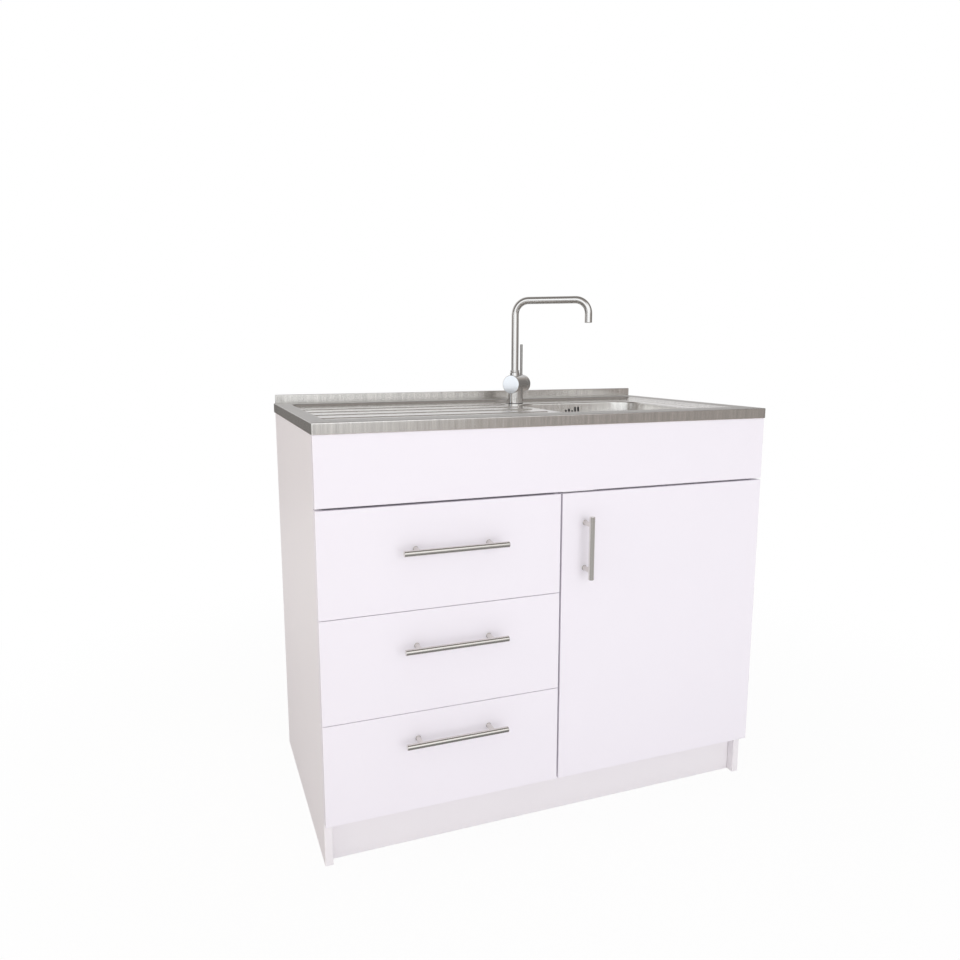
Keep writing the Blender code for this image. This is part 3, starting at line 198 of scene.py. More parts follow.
def tint(label, default, text):
    return bpy.props.FloatVectorProperty(name=label, description=text, default=default, size=3, min=0.0,
                                         max=1.0, subtype="COLOR")


class BoardSettings(bpy.types.PropertyGroup):
    front_colour: tint("Front colour", (0.89, 0.862, 0.925), "Melamine face of the fronts")
    carcass_colour: tint("Carcass colour", (0.88, 0.855, 0.885), "Melamine face of the carcass boards")
    front_edge: length("Front edge", 0.0007, "Rounding of the fronts' edges")


class SinkSettings(bpy.types.PropertyGroup):
    colour: tint("Steel colour", (0.79, 0.775, 0.755), "Brushed sheet of the sink")
    sheet: length("Sheet", 0.0012, "Thickness of the pressed sheet")
    rim_round: length("Rim rounding", 0.0015, "Fold between the rim and its skirt")
    bowl_round: length("Bowl rounding", 0.004, "Rounding between the field and the bowl's wall")
    bowl_floor_round: length("Bowl floor rounding", 0.024, "Rounding between the bowl's wall and its floor")
    bowl_corner: length("Bowl corner", 0.060, "Radius of the bowl's upright corners")


class TapSettings(bpy.types.PropertyGroup):
    colour: tint("Tap colour", (0.78, 0.77, 0.76), "Satin steel of the tap")
    # The housing end's paler, bluer colour is a painted reflection of a bright soft box
    end_painted_reflection: tint("Housing end", (0.86, 0.89, 0.93), "Pale flat end of the tap's housing")
    edge: length("Edge", 0.0008, "Small chamfer of the tap's turned pieces")
    facets: bpy.props.IntProperty(name="Facets", description="Sides of the turned pieces", default=64,
                                  min=16, max=128)


class HandleSettings(bpy.types.PropertyGroup):
    colour: tint("Handle colour", (0.74, 0.715, 0.68), "Satin steel of the bar handles")
    bar_radius: length("Bar radius", 0.006, "Radius of the handle bars")
    post_radius: length("Post radius", 0.005, "Radius of the handle posts")


class StageSettings(bpy.types.PropertyGroup):
    background: tint("Background", (1.0, 1.0, 1.0), "Colour behind the object")
    floor_shade: share("Floor shadow", 0.07, "How much of the shadow near the object the camera sees")
    mirrored_floor: share("Mirrored floor", 0.50, "Brightness of the floor in metal")
    even_light: share("Even light", 0.70, "Light from all sides")
    key_power: watts("Front lamp", 35.5)
    side_power: watts("Left lamp", 20.0)
    top_power: watts("Top lamp", 10.0)


# Shapes

def piece(name, work, body, materials, stands_for=(), angle=35.0):
    """Turns a finished bmesh into a piece that rides on a body."""
    work.edges.index_update()
    borders = [edge.index for edge in work.edges if edge.is_boundary]
    data = bpy.data.meshes.new(name)
    work.to_mesh(data)
    work.free()
    for material in materials:
        data.materials.append(material)
    data.shade_smooth()
    data.set_sharp_from_angle(angle=math.radians(angle))
    for index in borders:
        data.edges[index].use_edge_sharp = True
    made = bpy.data.objects.new(name, data)
    bpy.context.scene.collection.objects.link(made)
    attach(made, body)
    if stands_for:
        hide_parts(*stands_for)
    return made


def upright(direction):
    """Turns +Z to a direction."""
    return Vector(direction).to_track_quat("Z", "Y").to_matrix().to_4x4()


def slab(work, low, high, edge=0.0, segments=3):
    """A board between two corners with rounded edges."""
    low, high = Vector(low), Vector(high)
    place = Matrix.Translation((low + high) / 2) @ Matrix.Diagonal((*(high - low), 1.0))
    verts = bmesh.ops.create_cube(work, size=1.0, matrix=place)["verts"]
    if edge:
        edges = list({e for v in verts for e in v.link_edges})
        made = bmesh.ops.bevel(work, geom=edges, offset=edge, segments=segments, profile=0.5,
                               affect="EDGES", material=-1)
        flats = {f for v in made["verts"] for f in v.link_faces} - set(made["faces"])
        bmesh.ops.inset_individual(work, faces=list(flats), thickness=edge * HOLD, use_even_offset=True)
    return work


def rod(work, start, end, radius, steps, edge=0.0, tip=None):
    """A round bar, its ends rounded by edge; tip gives the far end another radius."""
    start, end = Vector(start), Vector(end)
    run = end - start
    if edge:
        profile = soften(plug(radius, run.length, 0.0), edge)
        return lathe(work, profile, Matrix.Translation(start) @ upright(run), steps)
    place = Matrix.Translation((start + end) / 2) @ upright(run)
    bmesh.ops.create_cone(work, cap_ends=True, segments=steps, radius1=radius,
                          radius2=radius if tip is None else tip, depth=run.length, matrix=place)
    return work


def plug(radius, top, bottom):
    """The profile of a plain round bar."""
    return [(0.0, top), (radius, top), (radius, bottom), (0.0, bottom)]


def soften(profile, edge):
    """Rounds a profile's corners where it turns by more than the least angle."""
    least = 25.0
    made = [profile[0]]
    for before, at, after in zip(profile, profile[1:], profile[2:]):
        corner = Vector(at)
        back, on = Vector(before) - corner, Vector(after) - corner
        if math.degrees(math.pi - back.angle(on)) < least:
            made.append(at)
            continue
        room = min(edge, 0.3 * back.length, 0.3 * on.length)
        back, on = back.normalized() * room, on.normalized() * room
        made.append(corner + back * (1 + HOLD))
        for step in range(4):
            share_on, share_back = (step / 3) ** 2, (1 - step / 3) ** 2
            made.append(corner + back * share_back + on * share_on)
        made.append(corner + on * (1 + HOLD))
    return made + [profile[-1]]


def lathe(work, profile, place, steps):
    """Spins radius and height pairs, which run down the outer side, about an axis.

    Only the points that the spin made are placed, found along their edges, as work may hold other shapes.
    """
    verts = [work.verts.new((max(radius, 0.0), 0.0, height)) for radius, height in profile]
    edges = [work.edges.new(pair) for pair in zip(verts, verts[1:])]
    if profile[0][0] > 0:
        edges.append(work.edges.new((verts[-1], verts[0])))
    made = bmesh.ops.spin(work, geom=verts + edges, cent=(0, 0, 0), axis=(0, 0, 1), angle=math.tau,
                          steps=steps, use_merge=True)
    grown = {v for v in made["geom_last"] if isinstance(v, bmesh.types.BMVert)} | set(verts)
    reached = list(grown)
    while reached:
        vert = reached.pop()
        for edge in vert.link_edges:
            other = edge.other_vert(vert)
            if other not in grown:
                grown.add(other)
                reached.append(other)
    bmesh.ops.transform(work, matrix=place, verts=list(grown))
    bmesh.ops.remove_doubles(work, verts=list(grown), dist=TOUCH)
    return work


def flat_ring(work, low, high, corner, steps, place=None):
    """A flat rectangle with round corners, facing up in its own plane."""
    mid = (Vector(low) + Vector(high)) / 2
    size = Vector(high) - Vector(low)
    spread = Matrix.Translation(mid) @ Matrix.Diagonal((size.x, size.y, 1.0, 1.0))
    verts = bmesh.ops.create_grid(work, x_segments=1, y_segments=1, size=0.5, matrix=spread)["verts"]
    made = bmesh.ops.bevel(work, geom=list(verts[0].link_faces[0].verts), offset=corner, segments=steps,
                           profile=0.5, affect="VERTICES", material=-1)
    face = made["verts"][0].link_faces[0]
    bmesh.ops.transform(work, matrix=place or Matrix.Identity(4), verts=list(face.verts))
    return face


def step_in(work, face, inward, rise):
    """Insets a face and moves it along its normal."""
    bmesh.ops.inset_region(work, faces=[face], use_boundary=True, use_even_offset=True, thickness=inward,
                           depth=rise)


def bend_in(work, face, radius, steps, over):
    """Rounds a face's border, down for a negative radius: flat to steep with over, or else steep to flat."""
    hold = abs(radius) * 0.15
    if over:
        step_in(work, face, hold, 0.0)
    for step in range(steps):
        first = math.pi / 2 * step / steps
        last = math.pi / 2 * (step + 1) / steps
        flat = math.sin(last) - math.sin(first)
        steep = math.cos(first) - math.cos(last)
        if over:
            step_in(work, face, abs(radius) * flat, radius * steep)
        else:
            step_in(work, face, abs(radius) * steep, radius * flat)
    if not over:
        step_in(work, face, hold, 0.0)


def press(work, face, width, depth):
    """Presses a face up or down along a smooth S, with a narrow flat left on each side."""
    flat, steps = 0.0004, 7
    smooth = [step * step * (3 - 2 * step) for step in (count / steps for count in range(steps + 1))]
    step_in(work, face, flat, 0.0)
    for before, after in zip(smooth, smooth[1:]):
        step_in(work, face, width / steps, depth * (after - before))
    step_in(work, face, flat, 0.0)


def open_edges(work, height):
    """The edges at a height that bound one face or none."""
    return [edge for edge in work.edges if len(edge.link_faces) < 2
            and all(abs(vert.co.z - height) < TOUCH for vert in edge.verts)]


def open_ring(work, face):
    """Takes a face away and gives the ring of edges that it leaves."""
    edges = list(face.edges)
    bmesh.ops.delete(work, geom=[face], context="FACES_ONLY")
    return edges


def ring(work, radius, place, steps):
    """A ring of edges."""
    verts = bmesh.ops.create_circle(work, cap_ends=False, segments=steps, radius=radius,
                                    matrix=place)["verts"]
    return list({e for v in verts for e in v.link_edges})


def grow(work, edges):
    """Extrudes edges in place; gives the new edges and their points."""
    made = bmesh.ops.extrude_edge_only(work, edges=edges)["geom"]
    verts = [g for g in made if isinstance(g, bmesh.types.BMVert)]
    edges = [g for g in made if isinstance(g, bmesh.types.BMEdge) and all(v in verts for v in g.verts)]
    return edges, verts


def fill(work, edges, normal):
    """Closes the area between rings of edges."""
    bmesh.ops.triangle_fill(work, use_beauty=True, use_dissolve=False, edges=edges, normal=Vector(normal))


def sweep(work, points, radii, steps):
    """A round tube through points, each with its own radius, closed at both ends."""
    points = [Vector(point) for point in points]
    rings = []
    for index, point in enumerate(points):
        before = points[max(index - 1, 0)]
        after = points[min(index + 1, len(points) - 1)]
        place = Matrix.Translation(point) @ upright(after - before)
        rings.append(ring(work, radii[index], place, steps))
    for first, second in zip(rings, rings[1:]):
        bmesh.ops.bridge_loops(work, edges=first + second)
    for end in (rings[0], rings[-1]):
        bmesh.ops.contextual_create(work, geom=end)
    return work


def arc(centre, start, end, steps):
    """Points of a quarter turn about a centre, from start to end."""
    centre, start, end = Vector(centre), Vector(start), Vector(end)
    return [centre + (start - centre) * math.cos(math.pi / 2 * step / steps)
            + (end - centre) * math.sin(math.pi / 2 * step / steps) for step in range(steps + 1)]


def outward(work):
    """Merges doubles and turns every face outwards."""
    bmesh.ops.remove_doubles(work, verts=work.verts, dist=TOUCH)
    bmesh.ops.recalc_face_normals(work, faces=work.faces)
    return work


def upward(work, face):
    """Turns an open sheet so that one face of it looks up."""
    if face.normal.z < 0:
        bmesh.ops.reverse_faces(work, faces=work.faces)


def thicken(made, thickness, offset):
    """Gives a sheet its wall."""
    wall = made.modifiers.new("sheet", "SOLIDIFY")
    wall.thickness = thickness
    wall.offset = offset


def front_slab(work, low, high, edge):
    """A front with rounded edges; its narrow sides carry the edge band, material 1."""
    slab(work, low, high, edge)
    for face in work.faces:
        face.material_index = 0 if abs(face.normal.y) > 0.99 else 1
    return work


def spaced(points, gap):
    """Points at even spacing along a route."""
    points = [Vector(point) for point in points]
    made = [points[0]]
    rest = gap
    for first, second in zip(points, points[1:]):
        run = (second - first).length
        at = rest
        while at < run:
            made.append(first.lerp(second, at / run))
            at += gap
        rest = at - run
    return made


def grips(work, place, radius, high, low, count, wide):
    """Upright grip ribs round a nut."""
    for index in range(count):
        turn = place @ Matrix.Rotation(math.tau * index / count, 4, "Z")
        low_at, high_at = turn @ Vector((radius, 0, low)), turn @ Vector((radius, 0, high))
        rod(work, low_at, high_at, wide / 2, 6)


def screw_head(work, at, direction, kind):
    """A round screw head with a sunk middle."""
    radius, height = SCREWS[kind]
    place = Matrix.Translation(at) @ upright(direction)
    lathe(work, [(0.0, height * 0.55), (radius * 0.30, height * 0.55), (radius * 0.36, height),
                 (radius * 0.72, height * 0.9), (radius * 0.94, height * 0.55), (radius, 0.0), (0.0, 0.0)],
          place, 20)


def on_waste(z):
    """A place on the axis of the waste."""
    return Matrix.Translation((BOWL_MID.x, BOWL_MID.y, z))


# Shader groups

def new_group(name, takes, gives):
    """An empty group with its named inputs and outputs."""
    group = bpy.data.node_groups.new(name, "ShaderNodeTree")
    for label, kind, default in takes:
        socket = group.interface.new_socket(label, in_out="INPUT", socket_type=kind)
        if default is not None:
            socket.default_value = default
    for label, kind in gives:
        group.interface.new_socket(label, in_out="OUTPUT", socket_type=kind)
    return group, group.nodes.new("NodeGroupInput"), group.nodes.new("NodeGroupOutput")


def feed(tree, socket, value):
    """Gives a socket a number, a vector or what another socket puts out."""
    if isinstance(value, bpy.types.NodeSocket):
        tree.links.new(value, socket)
    else:
        socket.default_value = value


def math_node(tree, operation, *values, clamp=False):
    """A sum on numbers and sockets."""
    node = tree.nodes.new("ShaderNodeMath")
    node.operation = operation
    node.use_clamp = clamp
    for socket, value in zip(node.inputs, values):
        feed(tree, socket, value)
    return node.outputs[0]


def vector_node(tree, operation, first, label, second):
    """A sum on vectors; the second value goes to the input of that name or number."""
    node = tree.nodes.new("ShaderNodeVectorMath")
    node.operation = operation
    feed(tree, node.inputs[0], first)
    feed(tree, node.inputs[label], second)
    return node.outputs


def axes(tree, vector):
    """X, Y and Z of a vector."""
    node = tree.nodes.new("ShaderNodeSeparateXYZ")
    tree.links.new(vector, node.inputs[0])
    return node.outputs


def fade(tree, value, low, high, first=0.0, last=1.0):
    """Runs smoothly from a first to a last value as its input goes from low to high."""
    node = tree.nodes.new("ShaderNodeMapRange")
    node.interpolation_type = "SMOOTHSTEP"
    for label, number in (("From Min", low), ("From Max", high), ("To Min", first), ("To Max", last)):
        node.inputs[label].default_value = number
    tree.links.new(value, node.inputs["Value"])
    return node.outputs["Result"]


def ramp(tree, value, stops):
    """A colour that runs through stops, each a place from 0 to 1 and its colour."""
    node = tree.nodes.new("ShaderNodeValToRGB")
    elements = node.color_ramp.elements
    elements[0].color = (*stops[0][1], 1.0)
    elements[1].color = (*stops[-1][1], 1.0)
    for at, colour in stops[1:-1]:
        elements.new(at).color = (*colour, 1.0)
    tree.links.new(value, node.inputs[0])
    return node.outputs[0]


def cells(tree, vector, scale):
    """Random cells: three random values for each, and the distance from its middle."""
    node = tree.nodes.new("ShaderNodeTexVoronoi")
    node.inputs["Scale"].default_value = scale
    tree.links.new(vector, node.inputs["Vector"])
    parts = tree.nodes.new("ShaderNodeSeparateColor")
    tree.links.new(node.outputs["Color"], parts.inputs[0])
    return parts.outputs, node.outputs["Distance"]


def mix_shaders(tree, amount, first, second):
    """The second shader over the first by an amount."""
    node = tree.nodes.new("ShaderNodeMixShader")
    for socket, source in zip(node.inputs, (amount, first, second)):
        tree.links.new(source, socket)
    return node.outputs[0]


def mirror_rays(tree):
    """The light path, and whether a ray comes off a mirroring or through a clear surface."""
    rays = tree.nodes.new("ShaderNodeLightPath")
    mirrored = math_node(tree, "MAXIMUM", rays.outputs["Is Glossy Ray"], rays.outputs["Is Transmission Ray"])
    return rays, mirrored


def noise(tree, vector, scale, detail, roughness=0.55):
    node = tree.nodes.new("ShaderNodeTexNoise")
    for label, value in (("Vector", vector), ("Scale", scale), ("Detail", detail), ("Roughness", roughness)):
        feed(tree, node.inputs[label], value)
    return node.outputs["Fac"]


def stretch(tree, vector, by):
    """A vector with each axis multiplied."""
    return vector_node(tree, "MULTIPLY", vector, 1, by)[0]


def speckle_group():
    """Fine pearl texture and faint clouding of a moulded, lacquered or pressed surface."""
    group, takes, gives = new_group(
        "fine_speckle",
        [("Vector", "NodeSocketVector", None), ("Scale", "NodeSocketFloat", 900.0),
         ("Clouding", "NodeSocketFloat", 0.02)],
        [("Tone", "NodeSocketFloat"), ("Height", "NodeSocketFloat")])
    fine = noise(group, takes.outputs["Vector"], takes.outputs["Scale"], 3.0)
    coarse = noise(group, takes.outputs["Vector"], 7.0, 3.0)
    cloud = math_node(group, "MULTIPLY", math_node(group, "SUBTRACT", coarse, 0.5), takes.outputs["Clouding"])
    grit = math_node(group, "MULTIPLY", math_node(group, "SUBTRACT", fine, 0.5),
                     math_node(group, "MULTIPLY", takes.outputs["Clouding"], 0.5))
    tone = math_node(group, "ADD", math_node(group, "ADD", cloud, grit), 1.0)
    group.links.new(tone, gives.inputs["Tone"])
    group.links.new(fine, gives.inputs["Height"])


def grain_group():
    """Long streaks of brushed or drawn metal, and of sawn wood: fine lines with broad bands among them."""
    group, takes, gives = new_group(
        "long_grain",
        [("Vector", "NodeSocketVector", None), ("Fine", "NodeSocketVector", (6.0, 900.0, 900.0)),
         ("Broad", "NodeSocketVector", (2.0, 60.0, 60.0)), ("Contrast", "NodeSocketFloat", 0.2)],
        [("Tone", "NodeSocketFloat"), ("Height", "NodeSocketFloat")])
    fine = noise(group, stretch(group, takes.outputs["Vector"], takes.outputs["Fine"]), 1.0, 4.0, 0.6)
    broad = noise(group, stretch(group, takes.outputs["Vector"], takes.outputs["Broad"]), 1.0, 3.0, 0.5)
    both = math_node(group, "ADD", math_node(group, "MULTIPLY", fine, 0.55),
                     math_node(group, "MULTIPLY", broad, 0.45))
    spread = math_node(group, "MULTIPLY", math_node(group, "SUBTRACT", both, 0.5), takes.outputs["Contrast"])
    group.links.new(math_node(group, "ADD", spread, 1.0), gives.inputs["Tone"])
    group.links.new(fine, gives.inputs["Height"])


def facing_group():
    """Masks of the faces that look back, down, and up or down, from the piece's own normals."""
    group, takes, gives = new_group(
        "facing", [("Normal", "NodeSocketVector", None)],
        [("Rear", "NodeSocketFloat"), ("Under", "NodeSocketFloat"), ("Flat", "NodeSocketFloat")])
    normal = axes(group, takes.outputs["Normal"])
    under = math_node(group, "MULTIPLY", normal["Z"], -1)
    flat = math_node(group, "ABSOLUTE", normal["Z"])
    for label, value in (("Rear", normal["Y"]), ("Under", under), ("Flat", flat)):
        past = math_node(group, "SUBTRACT", value, 0.6)
        group.links.new(math_node(group, "MULTIPLY", past, 6.0, clamp=True), gives.inputs[label])


def chip_group():
    """Pressed wood chips of a raw board edge."""
    group, takes, gives = new_group(
        "pressed_chips", [("Vector", "NodeSocketVector", None)],
        [("Colour", "NodeSocketColor"), ("Height", "NodeSocketFloat")])
    spread = stretch(group, takes.outputs["Vector"], (240.0, 240.0, 520.0))
    flakes, distance = cells(group, spread, 1.0)
    colour = ramp(group, flakes[0], ((0.0, (0.33, 0.22, 0.12)), (1.0, (0.66, 0.52, 0.34))))
    group.links.new(colour, gives.inputs["Colour"])
    group.links.new(distance, gives.inputs["Height"])


# Finishes

class Finish:
    """A material on object coordinates, built up from the shared groups."""

    def __init__(self, name, colour, roughness, metallic=0.0):
        self.made = bpy.data.materials.new(name)
        self.made.use_nodes = True
        self.made.diffuse_color = (*colour, 1.0)
        self.tree = self.made.node_tree
        self.shader = self.tree.nodes["Principled BSDF"]
        self.shader.inputs["Roughness"].default_value = roughness
        self.shader.inputs["Metallic"].default_value = metallic
        self.colour = self.tree.nodes.new("ShaderNodeRGB").outputs[0]
        self.colour.default_value = (*colour, 1.0)
        self.roughness = roughness
        self.place = self.tree.nodes.new("ShaderNodeTexCoord")

    def group(self, name, **values):
        """Places a shared group with its own values."""
        node = self.tree.nodes.new("ShaderNodeGroup")
        node.node_tree = bpy.data.node_groups[name]
        if "Vector" in node.inputs:
            self.tree.links.new(self.place.outputs["Object"], node.inputs["Vector"])
        if "Normal" in node.inputs:
            self.tree.links.new(self.place.outputs["Normal"], node.inputs["Normal"])
        for label, value in values.items():
            node.inputs[label].default_value = value
        return node

    def tone(self, factor):
        """Multiplies the colour by a value near one."""
        self.colour = vector_node(self.tree, "SCALE", self.colour, "Scale", factor)[0]
        return self

    def where(self, mask, colour):
        """Another colour where the mask is light; the node's colours are inputs 6 and 7 and output 2."""
        node = self.tree.nodes.new("ShaderNodeMix")
        node.data_type = "RGBA"
        self.tree.links.new(mask, node.inputs["Factor"])
        self.tree.links.new(self.colour, node.inputs[6])
        self.tree.links.new(colour, node.inputs[7])
        self.colour = node.outputs[2]
        return self

    def between(self, mask, first, second):
        """The first value where the mask is dark, the second where it is light; inputs 2 and 3 hold them."""
        node = self.tree.nodes.new("ShaderNodeMix")
        node.data_type = "FLOAT"
        self.tree.links.new(mask, node.inputs["Factor"])
        feed(self.tree, node.inputs[2], first)
        feed(self.tree, node.inputs[3], second)
        return node.outputs[0]

    def rough(self, value, spread):
        """Roughness that varies with a value about a half."""
        offset = math_node(self.tree, "MULTIPLY", math_node(self.tree, "SUBTRACT", value, 0.5), spread)
        self.tree.links.new(math_node(self.tree, "ADD", offset, self.roughness, clamp=True),
                            self.shader.inputs["Roughness"])
        return self

    def bump(self, height, distance, strength):
        """Fine relief, from a height of 0 to 1 over a distance."""
        node = self.tree.nodes.new("ShaderNodeBump")
        node.inputs["Distance"].default_value = distance
        node.inputs["Strength"].default_value = strength
        self.tree.links.new(height, node.inputs["Height"])
        self.tree.links.new(node.outputs["Normal"], self.shader.inputs["Normal"])
        return self

    def done(self):
        """Joins the colour to the shader and gives the material."""
        self.tree.links.new(self.colour, self.shader.inputs["Base Color"])
        return self.made


def melamine(name, colour, roughness, raw_rear=False):
    """Pearled melamine; with raw_rear, its rear edges show pressed chips."""
    finish = Finish(name, colour, roughness)
    pearl = finish.group("fine_speckle", Scale=1100.0, Clouding=0.018)
    finish.tone(pearl.outputs["Tone"])
    height = pearl.outputs["Height"]
    if raw_rear:
        facing = finish.group("facing")
        chips = finish.group("pressed_chips")
        finish.where(facing.outputs["Rear"], chips.outputs["Colour"])
        height = finish.between(facing.outputs["Rear"], pearl.outputs["Height"], chips.outputs["Height"])
    finish.rough(pearl.outputs["Height"], 0.10)
    finish.bump(height, 0.00004, 0.35)
    return finish.done()


def edge_band(name, colour):
    """A smooth plastic band, glued round the fronts."""
    finish = Finish(name, colour, 0.3)
    pearl = finish.group("fine_speckle", Scale=500.0, Clouding=0.012)
    finish.tone(pearl.outputs["Tone"]).rough(pearl.outputs["Height"], 0.06)
    return finish.bump(pearl.outputs["Height"], 0.00003, 0.2).done()


def hardboard():
    """Thin board: white lacquer on the face, brown felted fibre behind and below."""
    finish = Finish("thin_hardboard", (0.80, 0.78, 0.75), 0.5)
    pearl = finish.group("fine_speckle", Scale=700.0, Clouding=0.03)
    fibre = finish.group("long_grain", Fine=(420.0, 420.0, 160.0), Broad=(30.0, 30.0, 14.0), Contrast=0.5)
    facing = finish.group("facing")
    back = math_node(finish.tree, "MAXIMUM", facing.outputs["Rear"], facing.outputs["Under"])
    brown = vector_node(finish.tree, "SCALE", (0.36, 0.24, 0.14), "Scale", fibre.outputs["Tone"])[0]
    finish.tone(pearl.outputs["Tone"]).where(back, brown)
    finish.rough(finish.between(back, pearl.outputs["Height"], 0.9), 0.5)
    height = finish.between(back, pearl.outputs["Height"], fibre.outputs["Height"])
    return finish.bump(height, 0.00008, 0.4).done()


def brushed_sheet(name, colour, roughness):
    """Pressed sheet, its grain along X where it lies flat, across on the front rim and upright on walls.

    The rim is a little rougher than the field pressed into it. Its flat faces are a little darker, which is
    painted shade, and its front strip is darker still. The field's flat faces carry a painted sheen.
    """
    finish = Finish(name, colour, roughness, 1.0)
    lying = finish.group("long_grain", Fine=(5.0, 1500.0, 60.0), Broad=(1.2, 110.0, 20.0), Contrast=0.5)
    standing = finish.group("long_grain", Fine=(1300.0, 1300.0, 14.0), Broad=(120.0, 120.0, 16.0),
                            Contrast=0.85)
    across = finish.group("long_grain", Fine=(1300.0, 14.0, 14.0), Broad=(120.0, 8.0, 8.0), Contrast=0.7)
    facing = finish.group("facing")
    flat = facing.outputs["Flat"]
    # Painted light on flat faces: a painted sheen lightens the field, and painted shade darkens the rim, its
    # front strip most
    field_painted_sheen, rim_painted_shade, front_rim_painted_shade, rim_coarse = 0.15, -0.32, -0.04, 1.8
    place = axes(finish.tree, finish.place.outputs["Object"])
    rim = math_node(finish.tree, "GREATER_THAN", place["Z"], RIM_Z - 0.0015)
    front = math_node(finish.tree, "LESS_THAN", place["Y"], SINK_LOW.y + RIM_FRONT)
    front = math_node(finish.tree, "MULTIPLY", front, rim)
    grain = finish.between(front, lying.outputs["Tone"], across.outputs["Tone"])
    finish.tone(finish.between(flat, standing.outputs["Tone"], grain))
    painted_shade_and_sheen = math_node(finish.tree, "MULTIPLY_ADD", rim, rim_painted_shade, field_painted_sheen)
    painted_shade_and_sheen = math_node(finish.tree, "MULTIPLY_ADD", front, front_rim_painted_shade, painted_shade_and_sheen)
    finish.tone(math_node(finish.tree, "MULTIPLY_ADD", painted_shade_and_sheen, flat, 1.0))
    height = finish.between(flat, standing.outputs["Height"], lying.outputs["Height"])
    coarse = math_node(finish.tree, "MULTIPLY", math_node(finish.tree, "MULTIPLY", rim, flat), rim_coarse)
    finish.rough(math_node(finish.tree, "ADD", height, coarse), 0.16)
    return finish.bump(height, 0.00003, 0.25).done()


def satin_metal(name, colour, roughness, fine, contrast=0.12):
    """Satin metal with fine lines and faint handling marks."""
    finish = Finish(name, colour, roughness, 1.0)
    lines = finish.group("long_grain", Fine=fine, Broad=(9.0, 9.0, 9.0), Contrast=contrast)
    marks = finish.group("fine_speckle", Scale=320.0, Clouding=0.03)
    finish.tone(lines.outputs["Tone"]).tone(marks.outputs["Tone"])
    return finish.rough(lines.outputs["Height"], 0.06).bump(lines.outputs["Height"], 0.00001, 0.1).done()


def zinc():
    """Zinc plate with its faint crystal patches and drawing lines along Y."""
    finish = Finish("runner_zinc", (0.62, 0.63, 0.65), 0.34, 1.0)
    lines = finish.group("long_grain", Fine=(700.0, 8.0, 700.0), Broad=(70.0, 5.0, 70.0), Contrast=0.3)
    patches = cells(finish.tree, finish.place.outputs["Object"], 210.0)[0]
    finish.tone(lines.outputs["Tone"]).tone(math_node(finish.tree, "MULTIPLY_ADD", patches[0], 0.12, 0.94))
    return finish.rough(patches[1], 0.14).bump(lines.outputs["Height"], 0.00002, 0.25).done()


def plastic(name, colour, roughness):
    """Moulded plastic or rubber with a fine skin."""
    finish = Finish(name, colour, roughness)
    skin = finish.group("fine_speckle", Scale=1500.0, Clouding=0.03)
    finish.tone(skin.outputs["Tone"]).rough(skin.outputs["Height"], 0.12)
    return finish.bump(skin.outputs["Height"], 0.00003, 0.3).done()


def softwood():
    """Planed strips: the grain follows each strip, along X at front and back and along Y at the ends."""
    finish = Finish("packing_softwood", (0.68, 0.55, 0.38), 0.65)
    along_x = finish.group("long_grain", Fine=(9.0, 420.0, 420.0), Broad=(2.0, 85.0, 85.0), Contrast=0.85)
    along_y = finish.group("long_grain", Fine=(420.0, 9.0, 420.0), Broad=(85.0, 2.0, 85.0), Contrast=0.85)
    away = math_node(finish.tree, "ABSOLUTE", axes(finish.tree, finish.place.outputs["Object"])["X"])
    ends = math_node(finish.tree, "GREATER_THAN", away, STRIP_END_X)
    finish.tone(finish.between(ends, along_x.outputs["Tone"], along_y.outputs["Tone"]))
    height = finish.between(ends, along_x.outputs["Height"], along_y.outputs["Height"])
    return finish.rough(height, 0.2).bump(height, 0.0001, 0.35).done()


def make_finishes():
    """Every material, by the slot that it fills."""
    for build in (speckle_group, grain_group, facing_group, chip_group):
        build()
    scene = bpy.context.scene
    boards, sink = scene.cabinet_boards, scene.cabinet_sink
    tap, handles = scene.cabinet_tap, scene.cabinet_handles
    return {
        "white_board": melamine("front_melamine", tuple(boards.front_colour), 0.36),
        "carcass_board": melamine("carcass_melamine", tuple(boards.carcass_colour), 0.42, raw_rear=True),
        "edge": edge_band("front_edge_band", tuple(boards.front_colour)),
        "thin_board": hardboard(),
        "packing_wood": softwood(),
        "runner_steel": zinc(),
        "hinge_steel": satin_metal("hinge_nickel", (0.66, 0.66, 0.67), 0.26, (300.0, 300.0, 300.0)),
        # The sink sheet carries painted shade on its rim and a painted sheen on its field
        "sink_steel": brushed_sheet("sink_steel_painted_shade_and_sheen", tuple(sink.colour), 0.22),
        "handle_steel": satin_metal("handle_satin_steel", tuple(handles.colour), 0.15,
                                    (900.0, 900.0, 900.0)),
        "tap_steel": satin_metal("tap_satin_steel", tuple(tap.colour), 0.16, (1100.0, 1100.0, 30.0), 0.04),
        "rod_steel": satin_metal("lever_steel", (0.44, 0.43, 0.42), 0.2, (900.0, 900.0, 40.0), 0.05),
        # Paler and bluer than the tap steel: a painted reflection on the housing's flat end
        "tap_disc": satin_metal("tap_end_painted_reflection", tuple(tap.end_painted_reflection), 0.12, (500.0, 500.0, 500.0), 0.05),
        "brass": satin_metal("turned_brass", (0.72, 0.56, 0.30), 0.33, (60.0, 60.0, 900.0), 0.25),
        "white_plastic": plastic("moulded_white_plastic", (0.87, 0.87, 0.86), 0.38),
        "rubber": plastic("grey_rubber", (0.05, 0.05, 0.055), 0.7),
        "clear_pad": plastic("clear_bumper", (0.72, 0.74, 0.76), 0.25),
        # Near black: painted shade for the shelf holes, with the brown of raw board
        "hole": plastic("hole_painted_shade", (0.09, 0.07, 0.05), 0.9),
    }


FINISH_NAMES = {}


def look(slot):
    """The material that fills a slot."""
    return bpy.data.materials[FINISH_NAMES[slot]]


